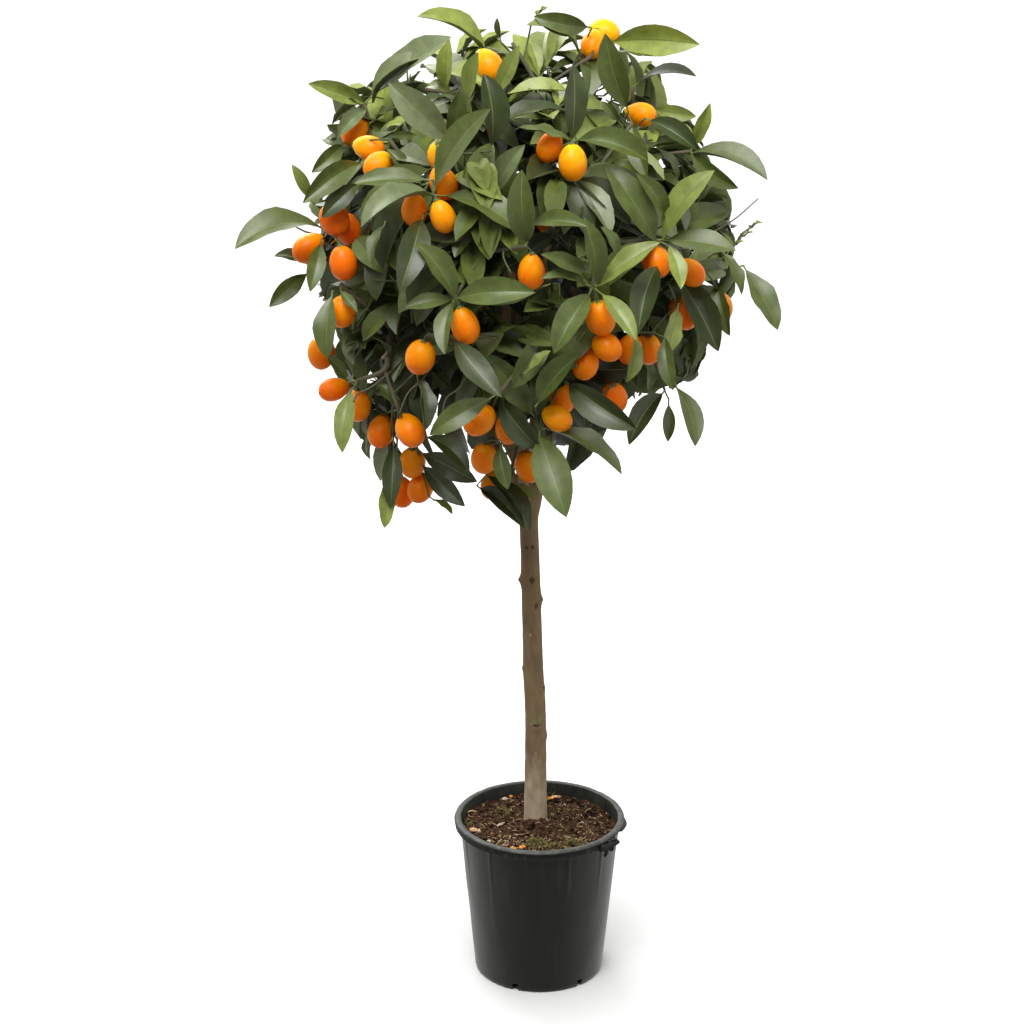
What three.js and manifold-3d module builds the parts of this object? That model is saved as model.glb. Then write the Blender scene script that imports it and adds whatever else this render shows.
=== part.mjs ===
// A kumquat tree trained as a ball on a bare stem, in a round nursery pot.
// Millimetres, +Z up. The origin is the centre of the pot's flat underside; the front faces -Y.

import * as THREE from 'three';
import { ConvexGeometry } from 'three/addons/geometries/ConvexGeometry.js';
import { mergeVertices } from 'three/addons/utils/BufferGeometryUtils.js';
import Module from 'manifold-3d';

const wasm = await Module();
wasm.setup();

const { Vector3 } = THREE;
const UP = new Vector3(0, 0, 1);
const CLEARANCE = 0.3; // between solids that meet
const FINEST_EDGE = 0.02; // slivers that joining leaves below this are merged away

// Pot
const POT_HEIGHT = 193;
const POT_BASE_RADIUS = 75.5;
const POT_WALL_TOP_RADIUS = 93;
const POT_WALL = 2;
const POT_FLOOR = 3;
const POT_SIDES = 60;
const LIP_RADIUS = 100;
const LIP_HEIGHT = 10;
const LIP_ROUNDING = 1.5;
const LIP_TOP_WIDTH = 8;
const DRAIN_COUNT = 6;
const DRAIN_WIDTH = 7;
const DRAIN_HEIGHT = 9;
const DRAIN_BEARING = -22; // degrees from the front, towards the right
const LIP_TEAR = { from: 57, to: 73, rise: 5.5, radius: 94.5 }; // bearings of the torn stretch
const LIP_FLARE = { from: 76, to: 96, drop: 3.5, spread: 4 }; // the bent stretch beside it

// Soil
const SOIL_LEVEL = 175;
const SOIL_GAP = 0.6; // to the pot's wall
const MOUND_HEIGHT = 7.5;
const MOUND_FLAT_RADIUS = 24;
const MOUND_SPREAD = 26;
const SOIL_SIDES = 30;
const SOIL_RINGS = [0.3, 0.55, 0.8]; // shares of the soil's radius

// Trunk
const TRUNK_FOOT = SOIL_LEVEL + MOUND_HEIGHT + CLEARANCE;
const TRUNK_COURSE = [
  new Vector3(-4.5, 12, TRUNK_FOOT),
  new Vector3(-4.5, 12, 250),
  new Vector3(-5, 11.5, 320),
  new Vector3(-7.5, 11, 372),
  new Vector3(-9.5, 10, 441),
  new Vector3(-12.5, 8, 535),
  new Vector3(-16, 6.5, 600),
  new Vector3(-22, 5, 664),
];
const TRUNK_FOOT_RADIUS = 13.2;
const TRUNK_TIP_RADIUS = 9.6;
const TRUNK_FLARE = { gain: 3.2, height: 16 };
const TRUNK_SIDES = 12;
const TRUNK_STEPS = 22;
const TRUNK_KNOTS = [
  // height, bearing from the front towards the right, swelling
  { up: 485, bearing: -88, swell: 3.4 },
  { up: 460, bearing: 88, swell: 3 },
  { up: 376, bearing: -80, swell: 1.6 },
  { up: 349, bearing: 85, swell: 1.6 },
  { up: 305, bearing: 5, swell: 1.8 },
  { up: 291, bearing: 75, swell: 2.2 },
  { up: 420, bearing: 190, swell: 2 },
  { up: 250, bearing: 160, swell: 1.6 },
];
const KNOT_HEIGHT = 9;
const KNOT_SPREAD = 34; // degrees

// Crown
const CROWN_HEART = new Vector3(-34, 4, 850);
const CROWN_REACH = 218; // from the heart to the shoots' tips
const CROWN_EDGE = 290; // and to the furthest leaves' tips
const EYE = new Vector3(-32, -2800, 1533); // where a viewer in front of the tree stands
const HEART_REACH = 160; // from the crown's heart to each mass's heart
const MASS_RINGS = [
  { name: 'upper', count: 5, bearing: -30, height: 32, foot: 609, bend: 0.28 },
  { name: 'lower', count: 5, bearing: 6, height: -24, foot: 571, bend: 0.25 },
];
const BOUGH_END = 70; // from the crown's heart
const BOUGH_FOOT_RADIUS = 6.1;
const BOUGH_TIP_RADIUS = 5.2;
const BOUGH_STAGGER = 6;
const BOUGH_SIDES = 6;
const BOUGH_STEPS = 4;
const SEED = 1871;

// Shoots
const FILL_SHOOTS = 70;
const FILL_SPACING = 16; // degrees that a filling shoot keeps from a front one
const FILL_WANDER = 13; // degrees
const FILL_UNEVEN = 0.06; // of the reach
const LOWEST_SHOOT = -50; // degrees
const INNER_SHARE = 0.3;
const INNER_REACH = 0.74;
const UNDERSIDE = { from: 0.25, to: 0.8, shrink: 0.16 }; // how far down the ball it flattens
const FRONT_LEAN = 0.6;
const SHOOT_RADIUS = 2.1;
const KNEE_SHARE = 0.46;
const KNEE_WANDER = 7;
const TWIG_SIDES = 3;
const TWIG_MARGIN = 7; // from a shoot to the edge of its mass's space
const BUD_RADIUS = 4;
const BUD_LENGTH = 9;
const BUD_WIDEST_FACE = 125; // degrees round the bud

// Leaves
const LEAF_LENGTH = 96;
const LEAF_SPREAD = 0.15; // how far lengths differ, as a share
const LEAF_HALF_WIDTH = 0.2; // shares of the length
const LEAF_MIDDLE = 0.45;
const LEAF_ARCH = 1.2; // the middle stands above the line from root to tip
const LEAF_OPENING = 52; // degrees from the shoot
const WHORL_OPENING = 76;
const WHORL_DROP = 20; // from the shoot's tip down its twig
const WHORL_SHARE = 0.6; // at most, of the twig
const LEAVES_PER_WHORL = 6;
const LEAF_WIDEST_OPENING = 84;
const LEAF_LIFT = 24; // degrees towards the viewer
const LEAF_SAG = 0.12;
const LEAF_APART = 2; // degrees round the shoot between the edges of two leaves
const LEAF_SHORTEST = 0.6; // of its full length
const LEAVES_PER_SHOOT = 6;
const LEAF_UNEVEN = 12; // degrees
const LEAF_TRIES = 16; // each further from the wanted direction, before a leaf is skipped
const TRY_TURN = 7; // degrees
const TRY_OPENING = 3;
const BLADE_START = 9; // beyond this from its root a leaf crosses no other
const BLADE_THICK = 1.6;
const GOLDEN_TURN = 137.5;
const EDGE_MARGIN = 0.5; // from a leaf to the edge of its mass's space
const LIMB_MARGIN = 9;

// Fruit
const FRUIT_WIDTH = 29;
const FRUIT_LENGTH = 35;
const FRUIT_SIDES = 5;
const FRUIT_PROFILE = [
  // shares of the length from the stalk, and of the half width
  { down: 0.04, radius: 0.6 },
  { down: 0.5, radius: 1.1 },
  { down: 0.94, radius: 0.6 },
];
const FRUIT_REACH = 226;
const FRUIT_MARGIN = 17;
const FRUIT_HANG = 27;
const FRUIT_SWING = 13;
const FRUIT_EVERY = 3; // one filling shoot in so many bears fruit
const STALK_RADIUS = 1.4;
const STALK_LENGTH = 7; // at the least
const FRUIT_SAG = 0.5;

// The front shoots: across and up from the crown's heart as the viewer sees them,
// the turns of their leaves (degrees from the right, anticlockwise), and the fruit beside them.
const FRONT_SHOOTS = [
  { across: -159, up: 179, turns: [162, 37, 230, 337, 100], fruit: [[-9, -30]] },
  { across: -132, up: 140, turns: [10, 281, 210, 140], fruit: [[-21, -11], [-10, -26], [5, -11]] },
  {
    across: -85,
    up: 80,
    turns: [55, 203, 336],
    fruit: [[11, -23], [-20, -15], [12, 13], [10, 42]],
  },
  { across: -66, up: 143, turns: [138, 76, 190, 20], fruit: [] },
  { across: -29, up: 226, turns: [149, 235, 300, 60], fruit: [[5, -5]] },
  { across: 2, up: 244, turns: [115, 75, 20, 250], fruit: [] },
  { across: 89, up: 230, turns: [172, 0, 350, 294, 110], fruit: [[1, 13], [13, 25]] },
  { across: 133, up: 197, turns: [3, 330, 60, 200], fruit: [] },
  { across: 67, up: 137, turns: [88, 165, 347, 45, 215], fruit: [[1, -22], [-24, -5]] },
  { across: 133, up: 157, turns: [283, 8, 330, 120], fruit: [[8, 10]] },
  { across: 196, up: 127, turns: [68, 337, 320, 180], fruit: [] },
  { across: 161, up: 31, turns: [126, 52, 353, 210, 290, 85], fruit: [[-1, -24], [36, -35]] },
  { across: 207, up: 7, turns: [297, 315, 275, 20], fruit: [[-17, -55], [21, -51]] },
  { across: 19, up: 24, turns: [97, 26, 200, 330], fruit: [[4, -27]] },
  { across: 90, up: -20, turns: [99, 151, 178, 236, 309, 22, 62], fruit: [[9, -34], [16, -66], [-7, -82]] },
  { across: 155, up: -69, turns: [256, 320, 30], fruit: [[-24, -19], [-4, -19]] },
  { across: -61, up: -32, turns: [123, 190, 8, 258], fruit: [[11, -30]] },
  { across: -90, up: -72, turns: [175, 280, 60], fruit: [[-9, -25]] },
  { across: 32, up: -177, turns: [126, 332, 286, 150], fruit: [[19, 13], [25, 35]] },
  { across: -11, up: -135, turns: [211, 110, 70, 300], fruit: [[-23, -31], [8, -39]] },
  { across: -9, up: -188, turns: [275, 230, 340], fruit: [[-20, -20], [-10, -49]] },
  { across: -3, up: -240, turns: [262, 240, 330], fruit: [[23, 22]] },
  {
    across: -199,
    up: 40,
    turns: [188, 112, 215, 300, 150],
    fruit: [[-21, -17], [7, 13], [23, 2], [16, -34]],
  },
  { across: -186, up: -17, turns: [222, 258, 285, 15], fruit: [[2, -30]] },
  { across: -168, up: -123, turns: [260, 154, 332, 100], fruit: [[-25, -9], [0, -27]] },
  {
    across: -123,
    up: -155,
    turns: [255, 285, 330, 215],
    fruit: [[-19, -23], [12, -22], [15, -58], [24, -86]],
  },
  { across: 166, up: -122, turns: [300, 275, 225, 20], fruit: [] },
  { across: 98, up: -144, turns: [330, 290, 215, 60], fruit: [[16, 2]] },
];

// ---- numbers and directions ----

const radians = THREE.MathUtils.degToRad;

function seeded(seed) {
  let state = seed >>> 0;
  return () => {
    state = (state + 0x6d2b79f5) >>> 0;
    let mixed = Math.imul(state ^ (state >>> 15), state | 1);
    mixed ^= mixed + Math.imul(mixed ^ (mixed >>> 7), mixed | 61);
    return ((mixed ^ (mixed >>> 14)) >>> 0) / 4294967296;
  };
}

// A unit vector: bearing from the front towards the right, height above the level.
function heading(bearing, height) {
  const level = Math.cos(radians(height));
  return new Vector3(
    Math.sin(radians(bearing)) * level,
    -Math.cos(radians(bearing)) * level,
    Math.sin(radians(height)),
  );
}

// Degrees between two bearings, the short way round.
function turnBetween(one, other) {
  return Math.abs(THREE.MathUtils.euclideanModulo(one - other + 180, 360) - 180);
}

function along(start, direction, distance) {
  return start.clone().addScaledVector(direction, distance);
}

function mean(points) {
  const total = new Vector3();
  points.forEach((point) => total.add(point));
  return total.divideScalar(points.length);
}

// ---- solids ----

// A closed geometry becomes a solid: shared corners merged, collapsed faces dropped, faces outward.
function solidOf(geometry) {
  geometry.deleteAttribute('normal');
  geometry.deleteAttribute('uv');
  const merged = mergeVertices(geometry, 1e-4);
  const corners = merged.attributes.position;
  const point = (i) => new Vector3().fromBufferAttribute(corners, i);
  const faces = [];
  let volume = 0;
  for (let i = 0; i < merged.index.count; i += 3) {
    const [a, b, c] = [0, 1, 2].map((step) => merged.index.getX(i + step));
    if (a !== b && b !== c && c !== a) {
      faces.push([a, b, c]);
      volume += point(a).dot(point(b).cross(point(c)));
    }
  }
  if (volume < 0) {
    faces.forEach((face) => face.reverse());
  }
  return new wasm.Manifold(new wasm.Mesh({
    numProp: 3,
    vertProperties: new Float32Array(corners.array),
    triVerts: new Uint32Array(faces.flat()),
  }));
}

function joined(solids) {
  return solids.reduce((whole, solid) => whole.add(solid));
}

// The largest body alone: loose scraps are dropped, and hollows that joining sealed are filled.
function largestBody(solid) {
  return solid.decompose().reduce((best, body) => (body.volume() > best.volume() ? body : best));
}

function geometryOf(solid) {
  const mesh = largestBody(solid.simplify(FINEST_EDGE)).getMesh();
  const geometry = new THREE.BufferGeometry();
  geometry.setAttribute('position', new THREE.BufferAttribute(mesh.vertProperties, 3));
  geometry.setIndex(new THREE.BufferAttribute(mesh.triVerts, 1));
  return geometry;
}

// A closed tube through rings: each has its centre, the way ahead, and radiusAt an outward direction.
function tube(rings, sides) {
  const cylinder = new THREE.CylinderGeometry(1, 1, 1, sides, rings.length - 1);
  const place = cylinder.attributes.position;
  const first = rings[0].ahead;
  let side = Math.abs(first.x) < 0.8 ? new Vector3(1, 0, 0) : new Vector3(0, 1, 0);
  const frames = rings.map(({ ahead }) => {
    side = side.clone().addScaledVector(ahead, -side.dot(ahead)).normalize();
    return { side, across: side.clone().cross(ahead) };
  });
  for (let i = 0; i < place.count; i += 1) {
    const step = Math.round((place.getY(i) + 0.5) * (rings.length - 1));
    const outward = frames[step].side.clone().multiplyScalar(place.getX(i));
    outward.addScaledVector(frames[step].across, place.getZ(i));
    const corner = rings[step].at.clone();
    if (outward.length() > 0.5) {
      corner.addScaledVector(outward, rings[step].radiusAt(outward));
    }
    place.setXYZ(i, corner.x, corner.y, corner.z);
  }
  return solidOf(cylinder);
}

// A tapering limb round a curve; radiusAt reads the share along it and the direction outward.
function limb(course, radiusAt, sides, steps) {
  const rings = Array.from({ length: steps + 1 }, (_, i) => ({
    at: course.getPoint(i / steps),
    ahead: course.getTangent(i / steps),
    radiusAt: (outward) => radiusAt(i / steps, outward),
  }));
  return tube(rings, sides);
}

// A limb through knots, each with a place and a radius, mitred where it bends.
function jointedLimb(knots, sides) {
  const rings = knots.map(({ at, radius }, i) => {
    const before = knots[Math.max(0, i - 1)].at;
    const after = knots[Math.min(knots.length - 1, i + 1)].at;
    const back = at.clone().sub(before).normalize();
    const on = after.clone().sub(at).normalize();
    return { at, ahead: back.add(on).normalize(), radiusAt: () => radius };
  });
  return tube(rings, sides);
}

// ---- pot and soil ----

// 0 outside the stretch of bearings, rising to 1 in its middle.
function stretch(bearing, { from, to }) {
  const share = (bearing - from) / (to - from);
  return share > 0 && share < 1 ? Math.sin(Math.PI * share) ** 0.5 : 0;
}

function potSolid() {
  const skirt = POT_HEIGHT - LIP_HEIGHT;
  const profile = [
    [0, 0],
    [POT_BASE_RADIUS, 0],
    [POT_WALL_TOP_RADIUS, skirt],
    [LIP_RADIUS, skirt],
    [LIP_RADIUS, POT_HEIGHT - LIP_ROUNDING],
    [LIP_RADIUS - LIP_ROUNDING, POT_HEIGHT],
    [LIP_RADIUS - LIP_TOP_WIDTH, POT_HEIGHT],
    [POT_WALL_TOP_RADIUS - POT_WALL, skirt],
    [POT_BASE_RADIUS - POT_WALL, POT_FLOOR],
    [0, POT_FLOOR],
  ].map(([radius, up]) => new THREE.Vector2(radius, up));
  const lathe = new THREE.LatheGeometry(profile, POT_SIDES);
  lathe.rotateX(Math.PI / 2);
  damageLip(lathe.attributes.position, skirt);
  return solidOf(lathe).subtract(joined(drains()));
}

// The lip's hanging edge is torn away over one stretch and bent out over the next.
function damageLip(place, skirt) {
  for (let i = 0; i < place.count; i += 1) {
    const radius = Math.hypot(place.getX(i), place.getY(i));
    const up = place.getZ(i);
    const bearing = THREE.MathUtils.radToDeg(Math.atan2(place.getX(i), -place.getY(i)));
    const torn = stretch(bearing, LIP_TEAR);
    const flared = stretch(bearing, LIP_FLARE);
    if (Math.abs(up - skirt) < 0.1 && Math.abs(radius - LIP_RADIUS) < 0.1) {
      const moved = radius + torn * (LIP_TEAR.radius - radius) + flared * LIP_FLARE.spread;
      place.setX(i, place.getX(i) * (moved / radius));
      place.setY(i, place.getY(i) * (moved / radius));
      place.setZ(i, up + torn * LIP_TEAR.rise - flared * LIP_FLARE.drop);
    }
  }
}

function drains() {
  return Array.from({ length: DRAIN_COUNT }, (_, i) => {
    const bearing = radians(DRAIN_BEARING + (i * 360) / DRAIN_COUNT);
    const slot = new THREE.BoxGeometry(DRAIN_WIDTH, 4 * POT_WALL, 2 * DRAIN_HEIGHT);
    slot.translate(0, -POT_BASE_RADIUS, 0);
    slot.rotateZ(bearing);
    return solidOf(slot);
  });
}

// Flat under the trunk's foot, then falling to the soil's level.
function soilHeight(x, y) {
  const distance = Math.hypot(x - TRUNK_COURSE[0].x, y - TRUNK_COURSE[0].y);
  const beyond = Math.max(0, distance - MOUND_FLAT_RADIUS);
  return SOIL_LEVEL + MOUND_HEIGHT * Math.exp(-((beyond / MOUND_SPREAD) ** 2));
}

function soilSolid() {
  const slope = (POT_WALL_TOP_RADIUS - POT_BASE_RADIUS) / (POT_HEIGHT - LIP_HEIGHT);
  const wallRadius = (up) => POT_BASE_RADIUS + slope * up - POT_WALL - SOIL_GAP;
  const rim = wallRadius(SOIL_LEVEL);
  const floor = POT_FLOOR + CLEARANCE;
  const profile = [
    [0, floor],
    [wallRadius(floor), floor],
    [rim, SOIL_LEVEL],
    ...SOIL_RINGS.toReversed().map((share) => [rim * share, SOIL_LEVEL]),
    [0, SOIL_LEVEL],
  ].map(([radius, up]) => new THREE.Vector2(radius, up));
  const lathe = new THREE.LatheGeometry(profile, SOIL_SIDES);
  lathe.rotateX(Math.PI / 2);
  const place = lathe.attributes.position;
  for (let i = 0; i < place.count; i += 1) {
    const inside = Math.hypot(place.getX(i), place.getY(i)) < rim - 1;
    if (place.getZ(i) > SOIL_LEVEL - 1 && inside) {
      place.setZ(i, soilHeight(place.getX(i), place.getY(i)));
    }
  }
  return solidOf(lathe);
}

// ---- trunk and boughs ----

const trunkCourse = new THREE.CatmullRomCurve3(TRUNK_COURSE);
const trunkTop = TRUNK_COURSE.at(-1);

function knotSwell(up, bearing) {
  return TRUNK_KNOTS.reduce((total, knot) => {
    const turned = turnBetween(bearing, knot.bearing);
    const near = ((up - knot.up) / KNOT_HEIGHT) ** 2 + (turned / KNOT_SPREAD) ** 2;
    return total + knot.swell * Math.exp(-near);
  }, 0);
}

function trunkRadius(share, outward) {
  const up = trunkCourse.getPoint(share).z;
  const bearing = THREE.MathUtils.radToDeg(Math.atan2(outward.x, -outward.y));
  const taper = TRUNK_FOOT_RADIUS + (TRUNK_TIP_RADIUS - TRUNK_FOOT_RADIUS) * share;
  const flare = TRUNK_FLARE.gain * Math.exp(-((up - TRUNK_FOOT) / TRUNK_FLARE.height));
  return taper + flare + knotSwell(up, bearing);
}

// The trunk swollen by the clearance, which trims the boughs' feet.
function trunkRoom() {
  const swollen = (share, outward) => trunkRadius(share, outward) + CLEARANCE;
  return limb(trunkCourse, swollen, TRUNK_SIDES, TRUNK_STEPS);
}

// Every mass: its name, its own heart, and the course of the bough that carries it.
function massPlan() {
  const top = CROWN_HEART.clone().addScaledVector(UP, HEART_REACH);
  const foot = along(trunkTop, trunkCourse.getTangent(1), CLEARANCE);
  const plan = [{
    name: 'top',
    heart: top,
    course: new THREE.QuadraticBezierCurve3(
      foot,
      along(foot, trunkCourse.getTangent(1), BOUGH_END),
      along(CROWN_HEART, UP, BOUGH_END / 2),
    ),
    tops: true,
  }];
  MASS_RINGS.forEach((ring) => {
    for (let i = 0; i < ring.count; i += 1) {
      const outward = heading(ring.bearing + (i * 360) / ring.count, ring.height);
      const up = ring.foot + ((2 * i) % ring.count) * BOUGH_STAGGER;
      const start = trunkCourse.getPoint((up - TRUNK_FOOT) / (trunkTop.z - TRUNK_FOOT));
      const end = along(CROWN_HEART, outward, BOUGH_END);
      const bend = new Vector3(end.x, end.y, start.z + (end.z - start.z) * ring.bend);
      plan.push({
        name: `${ring.name}_${i + 1}`,
        heart: along(CROWN_HEART, outward, HEART_REACH),
        course: new THREE.QuadraticBezierCurve3(start, bend, end),
        tops: false,
      });
    }
  });
  return plan;
}

function boughSolid(mass, room) {
  const radiusAt = (share) => BOUGH_FOOT_RADIUS + (BOUGH_TIP_RADIUS - BOUGH_FOOT_RADIUS) * share;
  const whole = limb(mass.course, radiusAt, BOUGH_SIDES, BOUGH_STEPS);
  return mass.tops ? whole : whole.subtract(room);
}

// ---- the crown's shoots ----

// Where a line of sight first meets a ball round the crown's heart, or passes nearest to it.
function onCrown(across, up, reach) {
  const towards = CROWN_HEART.clone().sub(EYE).normalize();
  const right = towards.clone().cross(UP).normalize();
  const raised = right.clone().cross(towards);
  const seen = along(along(CROWN_HEART, right, across), raised, up);
  const sight = seen.sub(EYE).normalize();
  const nearest = CROWN_HEART.clone().sub(EYE).dot(sight);
  const miss = along(EYE, sight, nearest).distanceTo(CROWN_HEART);
  return along(EYE, sight, nearest - Math.sqrt(Math.max(0, reach * reach - miss * miss)));
}

function frontShoots() {
  return FRONT_SHOOTS.map((row) => ({
    at: onCrown(row.across, row.up, CROWN_REACH),
    turns: row.turns,
    facing: true,
    fruit: row.fruit.map(([aside, above]) => (
      onCrown(row.across + aside, row.up + above, FRUIT_REACH)
    )),
  }));
}

// The rest of the crown: evenly spread round the ball, some of them inside it.
function fillShoots(front) {
  const random = seeded(SEED);
  const taken = front.map((shoot) => shoot.at.clone().sub(CROWN_HEART).normalize());
  const shoots = [];
  for (let i = 0; i < FILL_SHOOTS; i += 1) {
    const height = THREE.MathUtils.radToDeg(Math.asin(1 - (2 * i + 1) / FILL_SHOOTS));
    const aside = (random() - 0.5) * FILL_WANDER;
    const outward = heading(i * GOLDEN_TURN + aside, height + (random() - 0.5) * FILL_WANDER);
    const inner = random() < INNER_SHARE;
    const under = THREE.MathUtils.smoothstep(-outward.z, UNDERSIDE.from, UNDERSIDE.to);
    const uneven = 1 + (random() - 0.5) * FILL_UNEVEN;
    const reach = CROWN_REACH * (1 - UNDERSIDE.shrink * under) * uneven;
    const crowded = taken.some((other) => other.angleTo(outward) < radians(FILL_SPACING));
    const turn = random() * 360;
    if (height > LOWEST_SHOOT && (inner || !crowded)) {
      const at = along(CROWN_HEART, outward, reach * (inner ? INNER_REACH : 1));
      const turns = Array.from({ length: LEAVES_PER_SHOOT }, (_, k) => (
        turn + (k * 360) / LEAVES_PER_SHOOT + (random() - 0.5) * LEAF_UNEVEN
      ));
      const swing = heading(turn, 0).multiplyScalar(FRUIT_SWING);
      const hung = along(at, UP, -FRUIT_HANG).add(swing);
      const fruit = i % FRUIT_EVERY === 0 && !inner ? [hung] : [];
      shoots.push({ at, turns, facing: false, opening: LEAF_OPENING, fruit });
    }
  }
  return shoots;
}

// A shoot points outward, and one in front leans towards the viewer.
function aim(shoot) {
  const outward = shoot.at.clone().sub(CROWN_HEART).normalize();
  shoot.towards = EYE.clone().sub(shoot.at).normalize();
  shoot.axis = shoot.facing ? outward.lerp(shoot.towards, FRONT_LEAN).normalize() : outward;
  const reference = Math.abs(shoot.axis.z) < 0.95 ? UP : new Vector3(0, 1, 0);
  shoot.right = reference.clone().cross(shoot.axis).normalize();
  shoot.raised = shoot.axis.clone().cross(shoot.right);
}

// How far a point lies inside a mass's own space: it is nearer to that heart than to any other.
function roomAt(point, mass, plan) {
  return Math.min(...plan.filter((other) => other !== mass).map((other) => {
    const apart = other.heart.distanceTo(mass.heart);
    return (point.distanceToSquared(other.heart) - point.distanceToSquared(mass.heart)) / (2 * apart);
  }));
}

// A point moved away from its mass's neighbours until it has the margin it needs.
function kept(point, mass, plan, margin) {
  const moved = point.clone();
  for (let pass = 0; pass < 3; pass += 1) {
    plan.filter((other) => other !== mass).forEach((other) => {
      const away = mass.heart.clone().sub(other.heart);
      const apart = away.length();
      const inside = (moved.distanceToSquared(other.heart) - moved.distanceToSquared(mass.heart))
        / (2 * apart);
      if (inside < margin) {
        moved.addScaledVector(away, (margin - inside) / apart);
      }
    });
  }
  return moved;
}

// A limb divides in two again and again, the two shoots furthest apart leading, to one shoot each.
// The larger half carries the limb on, and the other half starts a limb of its own inside it.
function branch(grown, shoots, random, limbs) {
  const start = grown.at(-1).at;
  if (shoots.length === 1) {
    shoots[0].foot = start;
    limbs.push([...grown, { at: shoots[0].at, radius: SHOOT_RADIUS }]);
    return;
  }
  const middle = mean(shoots.map((shoot) => shoot.at));
  const wander = new Vector3(random() - 0.5, random() - 0.5, random() - 0.5);
  const knee = start.clone().lerp(middle, KNEE_SHARE).addScaledVector(wander, KNEE_WANDER);
  const radius = SHOOT_RADIUS * Math.sqrt(shoots.length);
  let leaders = [shoots[0], shoots[1]];
  shoots.forEach((one) => shoots.forEach((other) => {
    if (one.at.distanceTo(other.at) > leaders[0].at.distanceTo(leaders[1].at) + 1e-6) {
      leaders = [one, other];
    }
  }));
  const nearFirst = (shoot) => shoot.at.distanceTo(leaders[0].at) <= shoot.at.distanceTo(leaders[1].at);
  const halves = [shoots.filter(nearFirst), shoots.filter((shoot) => !nearFirst(shoot))];
  halves.sort((one, other) => other.length - one.length);
  branch([...grown, { at: knee, radius }], halves[0], random, limbs);
  const sideRadius = Math.min(radius / 2, SHOOT_RADIUS * Math.sqrt(halves[1].length));
  branch([{ at: knee, radius: sideRadius }], halves[1], random, limbs);
}

// ---- twigs, leaves and fruit ----

// A direction round a shoot's axis: degrees anticlockwise from its right-hand side.
function round(shoot, turn) {
  const side = shoot.right.clone().multiplyScalar(Math.cos(radians(turn)));
  return side.addScaledVector(shoot.raised, Math.sin(radians(turn)));
}

// The same, read back from a direction.
function bearingOf(shoot, direction) {
  const turn = Math.atan2(direction.dot(shoot.raised), direction.dot(shoot.right));
  return THREE.MathUtils.euclideanModulo(THREE.MathUtils.radToDeg(turn), 360);
}

// The way a leaf points: turned round its shoot, or laid out as the viewer sees it.
function leafAhead(shoot, turn, extraOpening) {
  const opening = radians((shoot.facing ? 90 - LEAF_LIFT : shoot.opening) + extraOpening);
  const middle = shoot.facing ? shoot.towards : shoot.axis;
  const reference = Math.abs(middle.z) < 0.95 ? UP : new Vector3(0, 1, 0);
  const right = reference.clone().cross(middle).normalize();
  const raised = middle.clone().cross(right);
  const flat = right.multiplyScalar(Math.cos(radians(turn)));
  flat.addScaledVector(raised, Math.sin(radians(turn)));
  const ahead = flat.multiplyScalar(Math.sin(opening)).addScaledVector(middle, Math.cos(opening));
  ahead.addScaledVector(UP, -LEAF_SAG).normalize();
  const excess = ahead.angleTo(shoot.axis) - radians(LEAF_WIDEST_OPENING);
  return excess > 0 ? ahead.addScaledVector(shoot.axis, Math.tan(excess)).normalize() : ahead;
}

// A leaf's corners, and its bearing round the shoot.
function leafOf(shoot, ahead, length) {
  const side = shoot.axis.clone().cross(ahead).normalize();
  const normal = ahead.clone().cross(side);
  const middle = along(along(shoot.at, ahead, length * LEAF_MIDDLE), normal, LEAF_ARCH);
  const start = along(shoot.at, ahead, BLADE_START);
  const leaf = {
    bearing: bearingOf(shoot, ahead),
    left: along(middle, side, length * LEAF_HALF_WIDTH),
    right: along(middle, side, -length * LEAF_HALF_WIDTH),
    tip: along(shoot.at, ahead, length),
  };
  leaf.reach = turnBetween(leaf.bearing, bearingOf(shoot, leaf.left.clone().sub(shoot.at)));
  leaf.corners = [leaf.left, leaf.right, leaf.tip];
  leaf.blade = [...leaf.corners, start, along(middle, normal, -BLADE_THICK)];
  return leaf;
}

// The whorls of leaves on a shoot: its own at the tip, and one that spreads wider further down.
function whorlsOf(shoot) {
  const twig = shoot.at.clone().sub(shoot.foot);
  const down = Math.min(WHORL_DROP, twig.length() * WHORL_SHARE);
  const turns = Array.from({ length: LEAVES_PER_WHORL }, (_, i) => (
    shoot.turns[0] + ((i + 0.5) * 360) / LEAVES_PER_WHORL
  ));
  const at = along(shoot.at, twig.normalize(), -down);
  return [shoot, { ...shoot, at, turns, facing: false, opening: WHORL_OPENING }];
}

// Leaves in order round the shoot, with bare faces added where they stand far apart.
function facesRound(leaves) {
  const sorted = [...leaves].sort((one, other) => one.bearing - other.bearing);
  if (sorted.length === 0) {
    sorted.push({ bearing: 0 });
  }
  return sorted.flatMap((leaf, i) => {
    const next = i + 1 < sorted.length ? sorted[i + 1].bearing : sorted[0].bearing + 360;
    const gap = next - leaf.bearing;
    const bare = Math.ceil(gap / BUD_WIDEST_FACE) - 1;
    const between = Array.from({ length: bare }, (_, k) => (
      { bearing: leaf.bearing + (gap * (k + 1)) / (bare + 1) }
    ));
    return [leaf, ...between];
  });
}

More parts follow.
